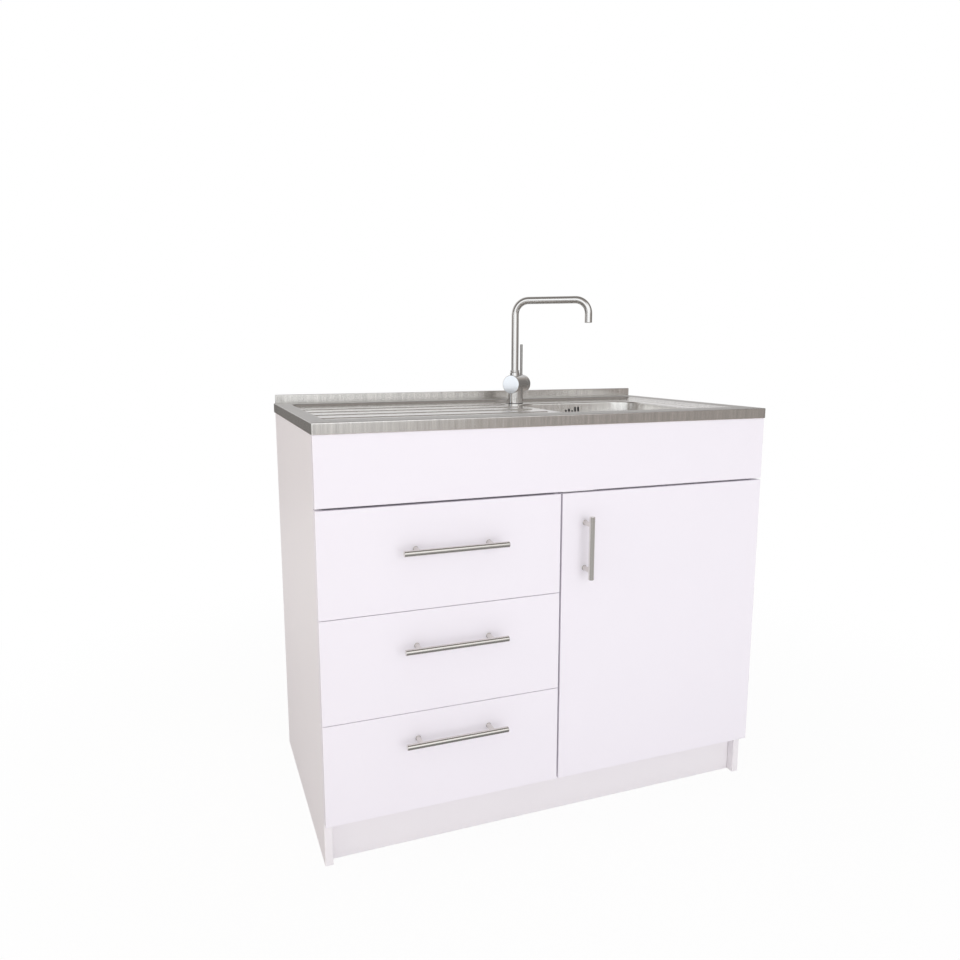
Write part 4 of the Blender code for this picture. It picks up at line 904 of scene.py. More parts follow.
# Operators: one for each group of pieces

class CABINET_OT_finishes(bpy.types.Operator):
    """Make every material and give the CAD nodes theirs"""
    bl_idname = "cabinet.finishes"
    bl_label = "Finishes"

    def execute(self, context):
        for slot, material in make_finishes().items():
            FINISH_NAMES[slot] = material.name
        for row in frame["record"]["subparts"]:
            materials = NODES[row["node"]].data.materials
            materials.clear()
            materials.append(look(row["material_slot"]))
        return {"FINISHED"}


class CABINET_OT_fronts(bpy.types.Operator):
    """Build the fascia, drawer fronts and door with rounded, banded edges"""
    bl_idname = "cabinet.fronts"
    bl_label = "Fronts"

    def execute(self, context):
        edge = context.scene.cabinet_boards.front_edge
        looks = [look("white_board"), look("edge")]
        rows = [("fascia_face", "fascia_panel", "cabinet", (0.0, 0.0))]
        rows += [("drawer_face_" + level, "drawer_front_" + level, "drawer_" + level, GAP_GROWTH[level])
                 for level in LEVELS]
        for name, node, body, (below, above) in rows:
            low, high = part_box(node)
            work = front_slab(bmesh.new(), low - UP * below, high + UP * above, edge)
            piece(name, work, body, looks, [node])
        self.door(edge, looks)
        return {"FINISHED"}

    def door(self, edge, looks):
        """The door's back is drilled for its two hinge cups."""
        radius, depth = CUP_BORE
        low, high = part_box("door_panel")
        work = front_slab(bmesh.new(), low, high, edge)
        back = max(work.faces, key=lambda f: f.normal.y * f.calc_area())
        edges = open_ring(work, back)
        bores = []
        for label in HINGES:
            cup = middle_of("hinge_cup_" + label)
            place = Matrix.Translation((cup.x, high.y, cup.z)) @ upright(BACK)
            bores.append(ring(work, radius, place, 48))
        fill(work, edges + [e for bore in bores for e in bore], BACK)
        for bore in bores:
            end, verts = grow(work, bore)
            bmesh.ops.translate(work, vec=(0, -depth, 0), verts=verts)
            bmesh.ops.contextual_create(work, geom=end)
        piece("door_face", outward(work), "door", looks, ["door_panel"])


class CABINET_OT_handles(bpy.types.Operator):
    """Build the bar handles and the screws that hold them"""
    bl_idname = "cabinet.handles"
    bl_label = "Handles"

    def execute(self, context):
        settings = context.scene.cabinet_handles
        rows = [("drawer_bar_" + level, "drawer_bar_screws_" + level, "drawer_handle_" + level,
                 "drawer_" + level, (1, 0, 0), DRAWER_POSTS) for level in LEVELS]
        rows.append(("door_bar", "door_bar_screws", "door_handle", "door", (0, 0, 1), DOOR_POSTS))
        for bar, screws, node, body, along, spacing in rows:
            along = Vector(along)
            posts = [along * side * spacing for side in (-1, 1)]
            self.bar(settings, bar, node, body, along, posts)
            self.screws(screws, node, body, posts)
        return {"FINISHED"}

    def bar(self, settings, name, node, body, along, posts):
        """A bar with rounded ends on two posts, each with a thin ring at its foot."""
        radius, post_radius = settings.bar_radius, settings.post_radius
        ring_tall, ring_wide, ring_edge = 0.0010, 0.0006, 0.0003
        low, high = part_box(node)
        bar_y = low.y + radius
        middle = (low + high) / 2
        middle.y = bar_y
        half = (high - low).dot(along) / 2
        work = rod(bmesh.new(), middle - along * half, middle + along * half, radius, 48, 0.0006)
        for post in posts:
            foot = middle + post
            foot.y = high.y
            rod(work, foot, foot + Vector((0, bar_y + radius * 0.6 - foot.y, 0)), post_radius, 32)
            rod(work, foot, foot - Vector((0, ring_tall, 0)), post_radius + ring_wide, 32, ring_edge)
        piece(name, outward(work), body, [look("handle_steel")], [node])

    def screws(self, name, node, body, posts):
        """The screws' heads, behind the front."""
        work = bmesh.new()
        for post in posts:
            at = middle_of(node) + post
            at.y = FRONT_BACK_Y
            screw_head(work, at, BACK, "handle")
        piece(name, outward(work), body, [look("runner_steel")])


class CABINET_OT_sink(bpy.types.Operator):
    """Press the sink sheet: rim and skirt, field, drainer ribs and bowl"""
    bl_idname = "cabinet.sink"
    bl_label = "Sink sheet"

    def execute(self, context):
        settings = context.scene.cabinet_sink
        low, high = SINK_LOW, SINK_HIGH
        work = bmesh.new()
        self.rim(work, settings)
        field = flat_ring(work, (low.x + RIM_SIDE, low.y + RIM_FRONT, RIM_Z),
                          (high.x - RIM_SIDE, high.y - RIM_BACK, RIM_Z), FIELD_CORNER, 6)
        press(work, field, FIELD_SLOPE, FIELD_Z - RIM_Z)
        open_ring(work, field)
        bmesh.ops.bridge_loops(work, edges=open_edges(work, RIM_Z))
        self.bowl(work, settings)
        first, last = low.y + RIB_MARGINS[0], high.y - RIB_MARGINS[1]
        for index in range(RIB_COUNT):
            self.rib(work, first + (last - first) * index / (RIB_COUNT - 1))
        ring(work, TAP_HOLE, Matrix.Translation((TAP_MID.x, TAP_MID.y, FIELD_Z)), 48)
        fill(work, open_edges(work, FIELD_Z), UP)
        outward(work)
        upward(work, max(work.faces, key=lambda f: f.calc_area()))
        sheet = piece("sink_sheet", work, "cabinet", [look("sink_steel")], ["sink_top"], 50.0)
        thicken(sheet, settings.sheet, -1.0)
        self.upstand()
        return {"FINISHED"}

    def rim(self, work, settings):
        """The skirt with its lower lip, and the fold up to the rim."""
        low, high = SINK_LOW, SINK_HIGH
        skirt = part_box("packing_frame")[0].z
        fold, lip = settings.rim_round, 0.0006
        face = flat_ring(work, (low.x, low.y, skirt), (high.x, high.y, skirt), RIM_CORNER, 6)
        for rise in (lip, RIM_Z - skirt - fold * 2 - lip, fold):
            step_in(work, face, 0.0, rise)
        bend_in(work, face, fold, 4, over=False)
        open_ring(work, face)

    def rib(self, work, y):
        """A drainer rib, pressed up out of the field."""
        left, right = RIB_X
        face = flat_ring(work, (left, y - RIB_HALF, FIELD_Z), (right, y + RIB_HALF, FIELD_Z),
                         RIB_HALF * 0.82, 6)
        press(work, face, RIB_SLOPE, RIB_HEIGHT)

    def bowl(self, work, settings):
        """The bowl: a rounded brink, drafted walls, a wide floor radius and a waste hole."""
        brink, low_round, hold = settings.bowl_round, settings.bowl_floor_round, 0.002
        spread = brink * 1.4
        face = flat_ring(work, (BOWL_X[0] - spread, BOWL_Y[0] - spread, FIELD_Z),
                         (BOWL_X[1] + spread, BOWL_Y[1] + spread, FIELD_Z), settings.bowl_corner + spread, 9)
        bend_in(work, face, -brink, 6, over=True)
        run = FIELD_Z - brink - BOWL_FLOOR_Z - low_round
        slope = BOWL_DRAFT / run
        for part in (hold, run - hold * 2, hold):
            before = set(work.faces)
            step_in(work, face, part * slope, -part)
            if part > hold:
                walls = [f for f in work.faces if f not in before and f is not face]
        bend_in(work, face, -low_round, 9, over=False)
        open_ring(work, face)
        ring(work, WASTE_HOLE, on_waste(BOWL_FLOOR_Z), 48)
        fill(work, open_edges(work, BOWL_FLOOR_Z), UP)
        self.overflow(work, max(walls, key=lambda f: f.calc_center_median().y * f.calc_area()))

    def overflow(self, work, wall):
        """Slots of several heights in the bowl's rear wall."""
        normal = wall.normal.copy()
        origin = wall.calc_center_median().copy()
        edges = open_ring(work, wall)
        tilt = math.atan2(normal.z, -normal.y)
        for index, part in enumerate(SLOT_SHARES):
            tall = SLOT_TALL * part
            z = OVERFLOW_Z - SLOT_TALL / 2 + tall / 2
            y = origin.y + (z - origin.z) * math.tan(tilt)
            place = (Matrix.Translation((BOWL_MID.x + (index - 2) * SLOT_PITCH, y, z))
                     @ Matrix.Rotation(math.pi / 2 - tilt, 4, "X"))
            face = flat_ring(work, (-SLOT_WIDE / 2, -tall / 2, 0), (SLOT_WIDE / 2, tall / 2, 0),
                             SLOT_WIDE * 0.48, 5, place)
            edges += open_ring(work, face)
        fill(work, edges, normal)

    def upstand(self):
        """The folded strip along the back edge."""
        low, high = SINK_LOW, SINK_HIGH
        work = slab(bmesh.new(), (low.x + 0.004, high.y - 0.006, RIM_Z - 0.0008),
                    (high.x - 0.004, high.y - 0.0003, high.z), 0.0011)
        piece("sink_upstand", work, "cabinet", [look("sink_steel")])


class CABINET_OT_tap(bpy.types.Operator):
    """Turn the tap: column and housing, mixer knob, lever, spout and aerator"""
    bl_idname = "cabinet.tap"
    bl_label = "Tap"

    def execute(self, context):
        settings = context.scene.cabinet_tap
        self.edge, self.steps = settings.edge, settings.facets
        self.steel = [look("tap_steel")]
        self.hub = Vector((TAP_MID.x, TAP_MID.y, HUB_Z))
        self.stand = Matrix.Translation((TAP_MID.x, TAP_MID.y, 0.0))
        self.along = Matrix.Translation(self.hub + AHEAD * 0.010) @ upright(AHEAD)
        self.housing()
        self.gasket()
        self.knob()
        self.lever()
        self.aerator(self.spout())
        return {"FINISHED"}

    def turned(self, work, profile, place):
        """A turned shape with its edges softened."""
        return lathe(work, soften(profile, self.edge), place, self.steps)

    def dome(self, gap):
        """Profile of the joint's ball about the lever's tilting point, from its axis out to the rim."""
        radius = math.hypot(HOUSING_RADIUS, JOINT_AHEAD) + gap
        last = math.asin(HOUSING_RADIUS / radius)
        return [(radius * math.sin(last * step / 10), radius * math.cos(last * step / 10))
                for step in range(11)]

    def housing(self):
        """The housing across its column, the collar under the spout, and the threaded shank."""
        end = -HOUSING_END
        work = self.turned(bmesh.new(), self.dome(0.0) + [(HOUSING_RADIUS, end), (0.0, end)], self.along)
        self.turned(work, plug(COLUMN_RADIUS, self.hub.z, FIELD_Z + 0.0006), self.stand)
        seat = self.hub.z + HOUSING_RADIUS + 0.0065
        self.turned(work, plug(COLLAR_RADIUS, seat, self.hub.z + 0.018), self.stand)
        foot, crest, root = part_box("tap_body")[0].z, 0.016, 0.0151
        thread = [(0.0, FIELD_Z)]
        for turn in range(int((FIELD_Z - foot) / THREAD_PITCH)):
            z = FIELD_Z - 0.0002 - turn * THREAD_PITCH
            thread += [(crest, z), (root, z - THREAD_PITCH / 2)]
        lathe(work, thread + [(root, foot), (0.0, foot)], self.stand, 32)
        body = piece("tap_housing", outward(work), "cabinet", self.steel + [look("tap_disc")],
                     ["tap_body"])
        # The housing's flat end away from the knob takes the paler finish, a painted reflection
        for face in body.data.polygons:
            if face.normal.dot(AHEAD) < -0.999:
                face.material_index = 1

    def gasket(self):
        """A thin rubber ring between the column and the sink."""
        low, inner, outer = FIELD_Z + 0.00005, 0.0185, 0.0226
        profile = [(inner, low + 0.001), (outer, low + 0.001), (outer, low), (inner, low)]
        work = lathe(bmesh.new(), soften(profile, 0.0003), self.stand, self.steps)
        piece("tap_gasket", outward(work), "cabinet", [look("rubber")])

    def knob(self):
        """The knob at the housing's end, hollow over the joint's ball."""
        profile = [(0.0, KNOB_END), (HOUSING_RADIUS, KNOB_END)] + self.dome(0.0005)[::-1]
        work = self.turned(bmesh.new(), profile, self.along)
        piece("mixer_cap", outward(work), "mixer_lever", self.steel, ["mixer_knob"])

    def lever(self):
        """The thin rod on the knob, with a ring round its foot."""
        low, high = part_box("mixer_lever")
        x, y = ((low + high) / 2).xy
        radius = (high.x - low.x) / 2
        work = rod(bmesh.new(), (x, y, low.z), (x, y, high.z), radius, 32, 0.0006)
        foot = self.hub.z + HOUSING_RADIUS
        rod(work, (x, y, foot - 0.001), (x, y, foot + 0.0012), radius + 0.0007, 32, 0.0003)
        piece("mixer_rod", outward(work), "mixer_lever", [look("rod_steel")], ["mixer_lever"])

    def spout(self):
        """The tube with its two bends, on a flanged foot; gives the middle of its mouth."""
        radius, bend = SPOUT_RADIUS, SPOUT_BEND
        foot = Vector((self.hub.x, self.hub.y, SPOUT_FOOT_Z))
        corner = Vector((foot.x, foot.y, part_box("spout")[1].z - radius))
        tip = corner + OUTWARD * SPOUT_REACH
        mouth = Vector((tip.x, tip.y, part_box("aerator")[0].z))
        rise = arc(corner + (OUTWARD - UP) * bend, corner - UP * bend, corner + OUTWARD * bend, 24)
        fall = arc(tip - (OUTWARD + UP) * bend, tip - OUTWARD * bend, tip - UP * bend, 24)
        straight = bend + 0.003
        route = [foot + UP * 0.002, foot + UP * 0.012, corner - UP * straight] + rise
        route += [corner + OUTWARD * straight, tip - OUTWARD * straight] + fall
        route += [tip - UP * straight, mouth + UP * 0.0010, mouth + UP * 0.0006, mouth + UP * 0.0002, mouth]
        radii = [radius] * (len(route) - 2) + [radius - 0.0002, radius - 0.0006]
        work = sweep(bmesh.new(), route, radii, 40)
        lathe(work, soften([(0.0, 0.0050), (0.0115, 0.0050), (0.0115, 0.0018), (0.0104, 0.0016),
                            (0.0104, 0.0006), (0.0112, 0.0), (0.0, 0.0)], 0.0005),
              Matrix.Translation(foot), self.steps)
        piece("spout_tube", outward(work), "spout", self.steel, ["spout"])
        return mouth

    def aerator(self, mouth):
        """A ring with a field of small pins in the spout's mouth."""
        work = lathe(bmesh.new(), [(0.0, 0.0025), (0.0050, 0.0025), (0.0054, -0.0002), (0.0066, -0.0002),
                                   (0.0070, 0.0006), (0.0070, 0.006), (0.0, 0.006)][::-1],
                     Matrix.Translation(mouth), 40)
        for x in range(-3, 4):
            for y in range(-3, 4):
                at = Vector((x + 0.5 * (y % 2), y * 0.87, 0)) * 0.0013
                if at.length < 0.0044:
                    rod(work, mouth + at + UP * 0.0024, mouth + at + UP * 0.0014, 0.00048, 6, tip=0.0003)
        piece("aerator_insert", outward(work), "spout", [look("white_plastic")],
              ["aerator"])


class CABINET_OT_waste(bpy.types.Operator):
    """Build the waste fitting, strainer, trap and overflow under the bowl"""
    bl_idname = "cabinet.waste"
    bl_label = "Waste and trap"

    def execute(self, context):
        self.fitting()
        self.strainer()
        self.trap()
        self.overflow()
        return {"FINISHED"}

    def fitting(self):
        """The flanged waste with its ribbed nut, its tail and the overflow's spigot behind."""
        place = on_waste(BOWL_FLOOR_Z)
        work = lathe(bmesh.new(), [
            (0.0422, 0.0016), (0.0440, 0.0019), (0.0550, 0.0017), (0.0558, 0.0012), (0.0560, 0.0004),
            (0.0442, 0.0003), (0.0442, -0.0015), (0.0520, -0.0015), (0.0520, -0.0115), (0.0442, -0.0115),
            (0.0442, -0.0370), (0.0430, -0.0392), (0.0200, -0.0400), (0.0200, -0.0700), (0.0180, -0.0700),
            (0.0180, -0.0382), (0.0400, -0.0378), (0.0418, -0.0360)], place, 72)
        grips(work, place, 0.0520, -0.0015, -0.0115, 24, 0.0016)
        start = Vector((BOWL_MID.x, BOWL_MID.y + 0.0425, SPIGOT_Z))
        end = (BOWL_MID.x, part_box("waste_body")[1].y, SPIGOT_Z)
        rod(work, start, end, 0.010, 32, 0.0006)
        piece("waste_fitting", outward(work), "cabinet", [look("sink_steel")], ["waste_body"])

    def strainer(self):
        """A pressed cup, pierced all over its floor, with a pull knob."""
        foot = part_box("strainer_basket")[0].z
        floor = foot + 0.0006
        middle = Vector((BOWL_MID.x, BOWL_MID.y, 0))
        work = bmesh.new()
        outer = ring(work, 0.0365, on_waste(floor), 64)
        edges = list(outer)
        for count, radius in ((8, 0.0125), (14, 0.0205), (20, 0.0290)):
            for index in range(count):
                angle = math.tau * index / count
                shift = Matrix.Translation((radius * math.cos(angle), radius * math.sin(angle), 0))
                edges += ring(work, 0.0025, on_waste(floor) @ shift, 12)
        edges += ring(work, 0.0034, on_waste(floor), 24)
        fill(work, edges, UP)
        edges = outer
        for radius, height in ((0.0394, 0.0008), (0.0408, 0.0026), (0.0412, 0.0060), (0.0412, 0.0245),
                               (0.0420, 0.0259), (0.0478, 0.0262), (0.0482, 0.0256)):
            edges, verts = grow(work, edges)
            for vert in verts:
                away = Vector((vert.co.x, vert.co.y, 0)) - middle
                vert.co = middle + away.normalized() * radius + UP * (floor + height)
        outward(work)
        upward(work, min(work.faces, key=lambda f: f.calc_center_median().z))
        cup = piece("strainer_cup", work, "strainer_basket", [look("sink_steel")],
                    ["strainer_basket"])
        thicken(cup, 0.0008, 0.0)
        top = foot + 0.0212
        work = lathe(bmesh.new(), [(0.0, top), (0.0050, top), (0.0066, top - 0.0008), (0.0070, top - 0.0022),
                                   (0.0066, top - 0.0052), (0.0052, top - 0.0066), (0.0035, top - 0.0076),
                                   (0.0035, foot + 0.0022), (0.0048, foot + 0.0010), (0.0, foot + 0.0010)],
                     on_waste(0.0), 40)
        piece("strainer_pull", outward(work), "strainer_basket", [look("tap_steel")])

    def trap(self):
        """The bottle with its two ribbed nuts, and the outlet back to the wall."""
        stand = on_waste(TRAP_Z)
        work = lathe(bmesh.new(), [
            (0.0203, 0.0160), (0.0262, 0.0160), (0.0268, 0.0152), (0.0268, 0.0006), (0.0258, 0.0),
            (0.0222, -0.0004), (0.0222, -0.0100), (0.0245, -0.0120), (0.0318, -0.0160), (0.0336, -0.0186),
            (0.0340, -0.0220), (0.0340, -0.0800), (0.0346, -0.0805), (0.0346, -0.0835), (0.0326, -0.0845),
            (0.0320, -0.1180), (0.0290, -0.1262), (0.0240, -0.1283), (0.0, -0.1283), (0.0, -0.0003),
            (0.0203, -0.0003)], stand, 64)
        grips(work, stand, 0.0265, 0.0150, 0.0010, 20, 0.0018)
        grips(work, stand, 0.0322, -0.0860, -0.1170, 28, 0.0016)
        start = BOWL_MID.y + 0.030
        along = Matrix.Translation((BOWL_MID.x, start, OUTLET_Z)) @ upright(BACK)
        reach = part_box("bottle_trap")[1].y - start
        lathe(work, [
            (0.0188, reach), (0.0197, reach), (0.0200, reach - 0.0006), (0.0200, 0.0200), (0.0266, 0.0200),
            (0.0270, 0.0190), (0.0270, 0.0036), (0.0262, 0.0028), (0.0, 0.0028), (0.0, reach - 0.050),
            (0.0180, reach - 0.050), (0.0180, reach - 0.0006)][::-1], along, 56)
        grips(work, along, 0.0267, 0.0186, 0.0040, 20, 0.0018)
        piece("trap_body", outward(work), "cabinet", [look("white_plastic")],
              ["bottle_trap"])

    def overflow(self):
        """A black rubber seal, a moulded box behind the slots and a ribbed hose down to the waste. The seal
        is solid across the slots: painted shade for the dark inside of the overflow.
        """
        low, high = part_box("overflow_housing")
        x = BOWL_MID.x
        # A solid black plate closing the slots: a real seal only rings them, so this is painted shade seen
        # through them
        painted_shade_seal = slab(bmesh.new(), (x - 0.026, 0.1771, 0.8400), (x + 0.026, 0.1784, 0.8690), 0.0004, 2)
        piece("overflow_seal_painted_shade", outward(painted_shade_seal), "cabinet", [look("rubber")])
        work = slab(bmesh.new(), (x - 0.028, 0.1785, 0.8384), (x + 0.028, high.y, 0.8700), 0.0022, 3)
        rod(work, (x, high.y - 0.0008, OVERFLOW_Z), (x, high.y + 0.0002, OVERFLOW_Z), 0.009, 32, 0.0003)
        bend, run_y, hose_top = 0.022, high.y - 0.010, 0.8400
        corner = Vector((x, run_y, SPIGOT_Z))
        turn = arc(corner + Vector((0, -bend, bend)), corner + UP * bend, corner - Vector((0, bend, 0)), 12)
        route = spaced([(x, run_y, hose_top)] + turn + [(x, low.y, SPIGOT_Z)], 0.0016)
        valley, crest, sleeve = 0.0086, 0.0098, 0.0104
        radii = [crest if (index // 2) % 2 else valley for index in range(len(route))]
        radii[:4] = [crest] * 4
        radii[-8:] = [sleeve] * 8
        sweep(work, route, radii, 28)
        piece("overflow_hose", outward(work), "cabinet", [look("white_plastic")],
              ["overflow_housing"])


class CABINET_OT_fittings(bpy.types.Operator):
    """Add the hinge plates' screws, cup wings, bumper pads and shelf holes"""
    bl_idname = "cabinet.fittings"
    bl_label = "Hinge and board fittings"

    def execute(self, context):
        for label in HINGES:
            self.wings(label)
            self.plate(label)
        self.pads()
        self.shelf_holes()
        return {"FINISHED"}

    def wings(self, label):
        """The cup's two wings with their screws, on the door's back."""
        middle, back = middle_of("hinge_cup_" + label), FRONT_BACK_Y
        work = bmesh.new()
        for side in (-1, 1):
            wing = Vector((middle.x, back, middle.z + side * 0.0245))
            slab(work, (wing.x - 0.0065, back + 0.0001, wing.z - 0.0068),
                 (wing.x + 0.0045, back + 0.0012, wing.z + 0.0068), 0.0005, 2)
            screw_head(work, wing + Vector((-0.001, 0.0010, 0)), BACK, "wing")
        piece("hinge_wings_" + label, outward(work), "door", [look("hinge_steel")])

    def plate(self, label):
        """The screws of the mounting plate and the arm, and the arm's slide."""
        z = middle_of("hinge_cup_" + label).z
        low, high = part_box("hinge_plate_" + label)
        arm_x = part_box("hinge_arm_" + label)[0].x
        work = bmesh.new()
        for side in (-1, 1):
            screw_head(work, Vector((low.x, (low.y + high.y) / 2, z + side * 0.0108)), (-1, 0, 0), "plate")
        for y in (low.y + 0.012, high.y - 0.012):
            screw_head(work, Vector((arm_x, y, z)), (-1, 0, 0), "arm")
        slab(work, (arm_x - 0.0022, low.y + 0.018, z - 0.0058), (arm_x + 0.0010, high.y - 0.018, z + 0.0058),
             0.0006, 2)
        piece("hinge_screws_" + label, outward(work), "cabinet", [look("hinge_steel")])

    def pads(self):
        """Clear bumper pads between the fronts and the carcass."""
        for level in LEVELS:
            low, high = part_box("drawer_front_" + level)
            self.pad_row("drawer_pads_" + level, "drawer_" + level, low.x + 0.010,
                         (low.z + 0.02, high.z - 0.02))
        low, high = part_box("door_panel")
        self.pad_row("door_pads", "door", low.x + 0.0045, (low.z + 0.03, high.z - 0.03))

    def pad_row(self, name, body, x, heights):
        """Pads on a front's back, as thick as its gap to the carcass."""
        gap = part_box("side_panel_left")[0].y - FRONT_BACK_Y
        work = bmesh.new()
        for z in heights:
            place = Matrix.Translation((x, FRONT_BACK_Y, z)) @ upright(BACK)
            lathe(work, [(0.0, gap - 0.0006), (0.0012, gap - 0.0007), (0.0024, gap - 0.0013),
                         (0.0030, gap * 0.4), (0.0032, 0.0), (0.0, 0.0)], place, 20)
        piece(name, outward(work), body, [look("clear_pad")])

    def shelf_holes(self):
        """Rows for shelf pins on both walls of the sink bay. Each hole is a flat dark disc on the wall,
        painted shade for its hollow; only its brown tint is the raw board's.
        """
        for name, x, way in (("shelf_holes_right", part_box("side_panel_right")[0].x, -1),
                             ("shelf_holes_left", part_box("divider_panel")[1].x, 1)):
            work = bmesh.new()
            for y in HOLE_ROWS_Y:
                for row in range(HOLE_COUNT):
                    z = HOLE_FIRST_Z + HOLE_PITCH * row
                    if way < 0 and y < 0 and HINGE_PLATE_Z[0] < z < HINGE_PLATE_Z[1]:
                        continue
                    place = Matrix.Translation((x, y, z)) @ upright((way, 0, 0))
                    # A flat dark disc just off the wall, painted shade in place of the hole's depth
                    lathe(work, [(0.0, 0.00006), (0.0022, 0.00006), (0.0023, 0.0002), (0.0026, 0.0002),
                                 (0.0028, 0.00002), (0.0, 0.00002)], place, 16)
            piece(name, outward(work), "cabinet", [look("hole")])


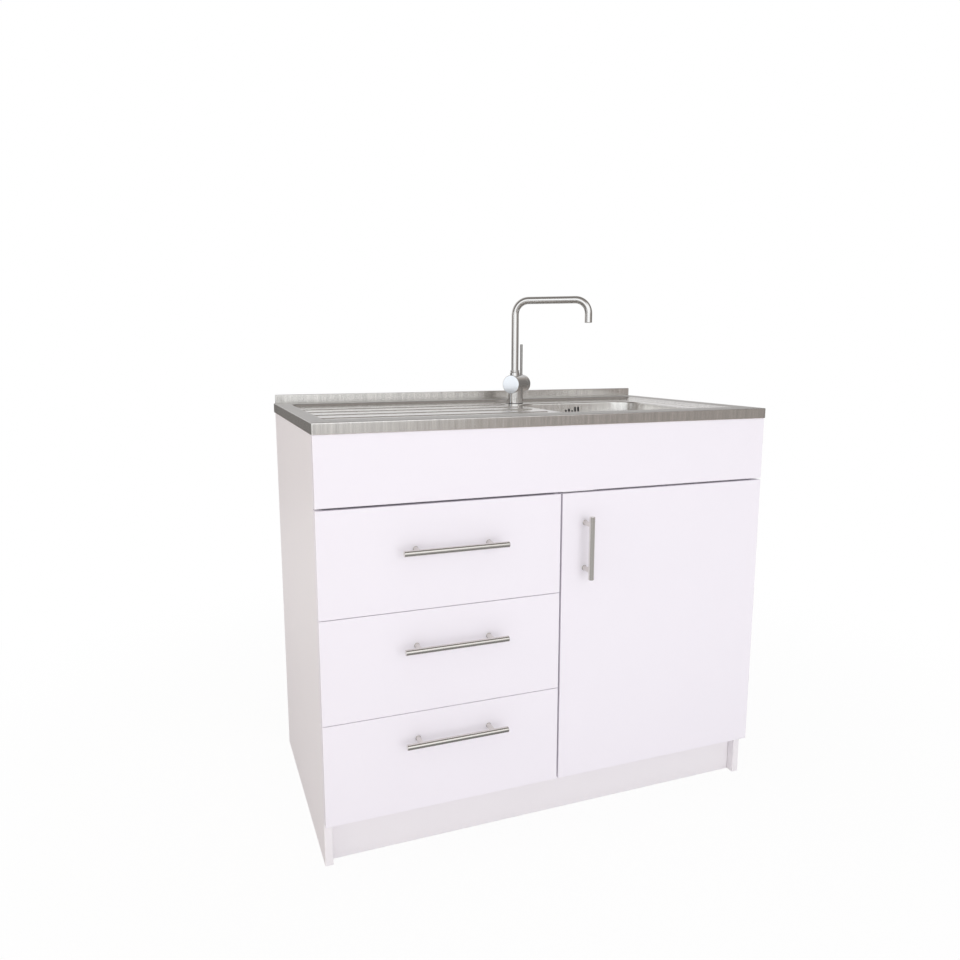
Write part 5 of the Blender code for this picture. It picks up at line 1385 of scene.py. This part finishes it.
class CABINET_OT_stage(bpy.types.Operator):
    """Set the floor, backdrop light, lamps and camera"""
    bl_idname = "cabinet.stage"
    bl_label = "Stage"

    def execute(self, context):
        settings = context.scene.cabinet_stage
        self.floor(settings)
        self.world(settings)
        for name, at, aim, size, power, colour in (
                ("key_lamp", (0.2, -3.6, 1.0), (0.1, -0.2, 0.40), 2.4, settings.key_power, (1.0, 0.985, 1.0)),
                ("left_lamp", (-3.4, -0.6, 1.5), (-0.4, 0.0, 0.45), 1.8, settings.side_power,
                 (1.0, 0.85, 0.72)),
                ("top_lamp", (0.2, 0.6, 3.4), (0.0, 0.0, 0.8), 2.2, settings.top_power, (1.0, 1.0, 1.0))):
            self.lamp(name, at, aim, size, power, colour)
        self.camera(context)
        context.scene.view_settings.view_transform = "Standard"
        return {"FINISHED"}

    def floor(self, settings):
        """White floor. The camera sees it as bright as the background, but for a shadow near the object."""
        work = bmesh.new()
        bmesh.ops.create_grid(work, x_segments=1, y_segments=1, size=3.4)
        data = bpy.data.meshes.new("studio_floor")
        work.to_mesh(data)
        work.free()
        floor = bpy.data.objects.new("studio_floor", data)
        bpy.context.scene.collection.objects.link(floor)
        material = bpy.data.materials.new("studio_floor")
        material.use_nodes = True
        tree = material.node_tree
        shader = tree.nodes["Principled BSDF"]
        shader.inputs["Base Color"].default_value = (0.93, 0.93, 0.93, 1.0)
        shader.inputs["Roughness"].default_value = 0.9
        shader.inputs["Specular IOR Level"].default_value = 0.0
        away = tree.nodes.new("ShaderNodeVectorMath")
        away.operation = "LENGTH"
        tree.links.new(tree.nodes.new("ShaderNodeTexCoord").outputs["Object"], away.inputs[0])
        far = fade(tree, away.outputs["Value"], 0.7, 1.9)
        shown = math_node(tree, "MULTIPLY_ADD", far, settings.floor_shade, 1.0 - settings.floor_shade)
        rays, mirrored = mirror_rays(tree)
        seen = math_node(tree, "ADD", rays.outputs["Is Camera Ray"], mirrored, clamp=True)
        glow = tree.nodes.new("ShaderNodeEmission")
        glow.inputs["Color"].default_value = (*settings.background, 1.0)
        glint = math_node(tree, "MULTIPLY_ADD", far, settings.mirrored_floor * 0.6,
                          settings.mirrored_floor * 0.4 - 1.0)
        tree.links.new(math_node(tree, "MULTIPLY_ADD", mirrored, glint, 1.0), glow.inputs["Strength"])
        amount = math_node(tree, "MULTIPLY", seen, shown)
        tree.links.new(mix_shaders(tree, amount, shader.outputs[0], glow.outputs[0]),
                       tree.nodes["Material Output"].inputs["Surface"])
        data.materials.append(material)

    def world(self, settings):
        """White behind the object, an even light on it, and a studio for metal to mirror.

        The mirrored studio has soft boxes in front and is bright behind above the horizon; elsewhere it is a
        warm grey.
        """
        world = bpy.data.worlds.new("studio")
        world.use_nodes = True
        bpy.context.scene.world = world
        tree = world.node_tree
        even = tree.nodes["Background"]
        even.inputs["Color"].default_value = (1.0, 0.99, 0.985, 1.0)
        even.inputs["Strength"].default_value = settings.even_light
        toward = tree.nodes.new("ShaderNodeTexCoord").outputs["Generated"]
        parts = axes(tree, toward)
        behind = fade(tree, parts["Y"], 0.2, 0.8, 0.0, 0.56)
        level = math_node(tree, "MULTIPLY", behind, fade(tree, parts["Z"], 0.0, 0.09))
        level = math_node(tree, "ADD", level, fade(tree, parts["Y"], 0.0, -0.8, 0.20, 0.34))
        for way, start, full, bright, bottom in SOFT_BOXES:
            cosine = vector_node(tree, "DOT_PRODUCT", toward, 1, way)["Value"]
            soft_box = fade(tree, cosine, start, full, 0.0, bright)
            above = fade(tree, parts["Z"], bottom, bottom + 0.16, 0.12, 1.0)
            level = math_node(tree, "MULTIPLY_ADD", soft_box, above, level)
        studio = tree.nodes.new("ShaderNodeBackground")
        tree.links.new(ramp(tree, level, STUDIO_TONES), studio.inputs["Color"])
        studio.inputs["Strength"].default_value = 1.28
        plain = tree.nodes.new("ShaderNodeBackground")
        plain.inputs["Color"].default_value = (*settings.background, 1.0)
        rays, mirrored = mirror_rays(tree)
        shown = mix_shaders(tree, mirrored, even.outputs[0], studio.outputs[0])
        shown = mix_shaders(tree, rays.outputs["Is Camera Ray"], shown, plain.outputs[0])
        tree.links.new(shown, tree.nodes["World Output"].inputs["Surface"])

    def lamp(self, name, at, aim, size, power, colour):
        """A square soft lamp that metal doesn't mirror."""
        data = bpy.data.lights.new(name, "AREA")
        data.size = size
        data.energy = power
        data.color = colour
        lamp = bpy.data.objects.new(name, data)
        lamp.visible_glossy = False
        bpy.context.scene.collection.objects.link(lamp)
        lamp.location = at
        lamp.rotation_euler = (Vector(aim) - Vector(at)).to_track_quat("-Z", "Y").to_euler()

    def camera(self, context):
        data = bpy.data.cameras.new("photo_camera")
        camera = bpy.data.objects.new("photo_camera", data)
        context.scene.collection.objects.link(camera)
        data.sensor_width = SENSOR_WIDTH
        data.lens = FOCAL_PIXELS / PICTURE_PIXELS * SENSOR_WIDTH
        camera.location = CAMERA_AT
        camera.rotation_euler = (math.radians(90.0 - CAMERA_DOWN), math.radians(CAMERA_ROLL),
                                 math.radians(-CAMERA_RIGHT))
        context.scene.camera = camera


class CABINET_PT_panel(bpy.types.Panel):
    """Sidebar panel with every step of the sink cabinet"""
    bl_idname = "CABINET_PT_panel"
    bl_label = "Sink cabinet"
    bl_space_type = "VIEW_3D"
    bl_region_type = "UI"
    bl_category = "Sink cabinet"

    def draw(self, context):
        for step in STEPS:
            self.layout.operator(step.bl_idname)
        for name, group in SETTINGS.items():
            box = self.layout.box()
            for label in group.__annotations__:
                box.prop(getattr(context.scene, name), label)


SETTINGS = {"cabinet_boards": BoardSettings, "cabinet_sink": SinkSettings, "cabinet_tap": TapSettings,
            "cabinet_handles": HandleSettings, "cabinet_stage": StageSettings}
STEPS = (CABINET_OT_finishes, CABINET_OT_stage, CABINET_OT_fronts, CABINET_OT_handles, CABINET_OT_sink,
         CABINET_OT_tap, CABINET_OT_waste, CABINET_OT_fittings)


def register():
    for group in SETTINGS.values():
        bpy.utils.register_class(group)
    for step in STEPS:
        bpy.utils.register_class(step)
    bpy.utils.register_class(CABINET_PT_panel)
    for name, group in SETTINGS.items():
        setattr(bpy.types.Scene, name, bpy.props.PointerProperty(type=group))


def unregister():
    for name in SETTINGS:
        delattr(bpy.types.Scene, name)
    bpy.utils.unregister_class(CABINET_PT_panel)
    for step in reversed(STEPS):
        bpy.utils.unregister_class(step)
    for group in reversed(list(SETTINGS.values())):
        bpy.utils.unregister_class(group)


def main():
    register()
    for step in STEPS:
        area, name = step.bl_idname.split(".")
        getattr(getattr(bpy.ops, area), name)()


if __name__ == "__main__":
    main()
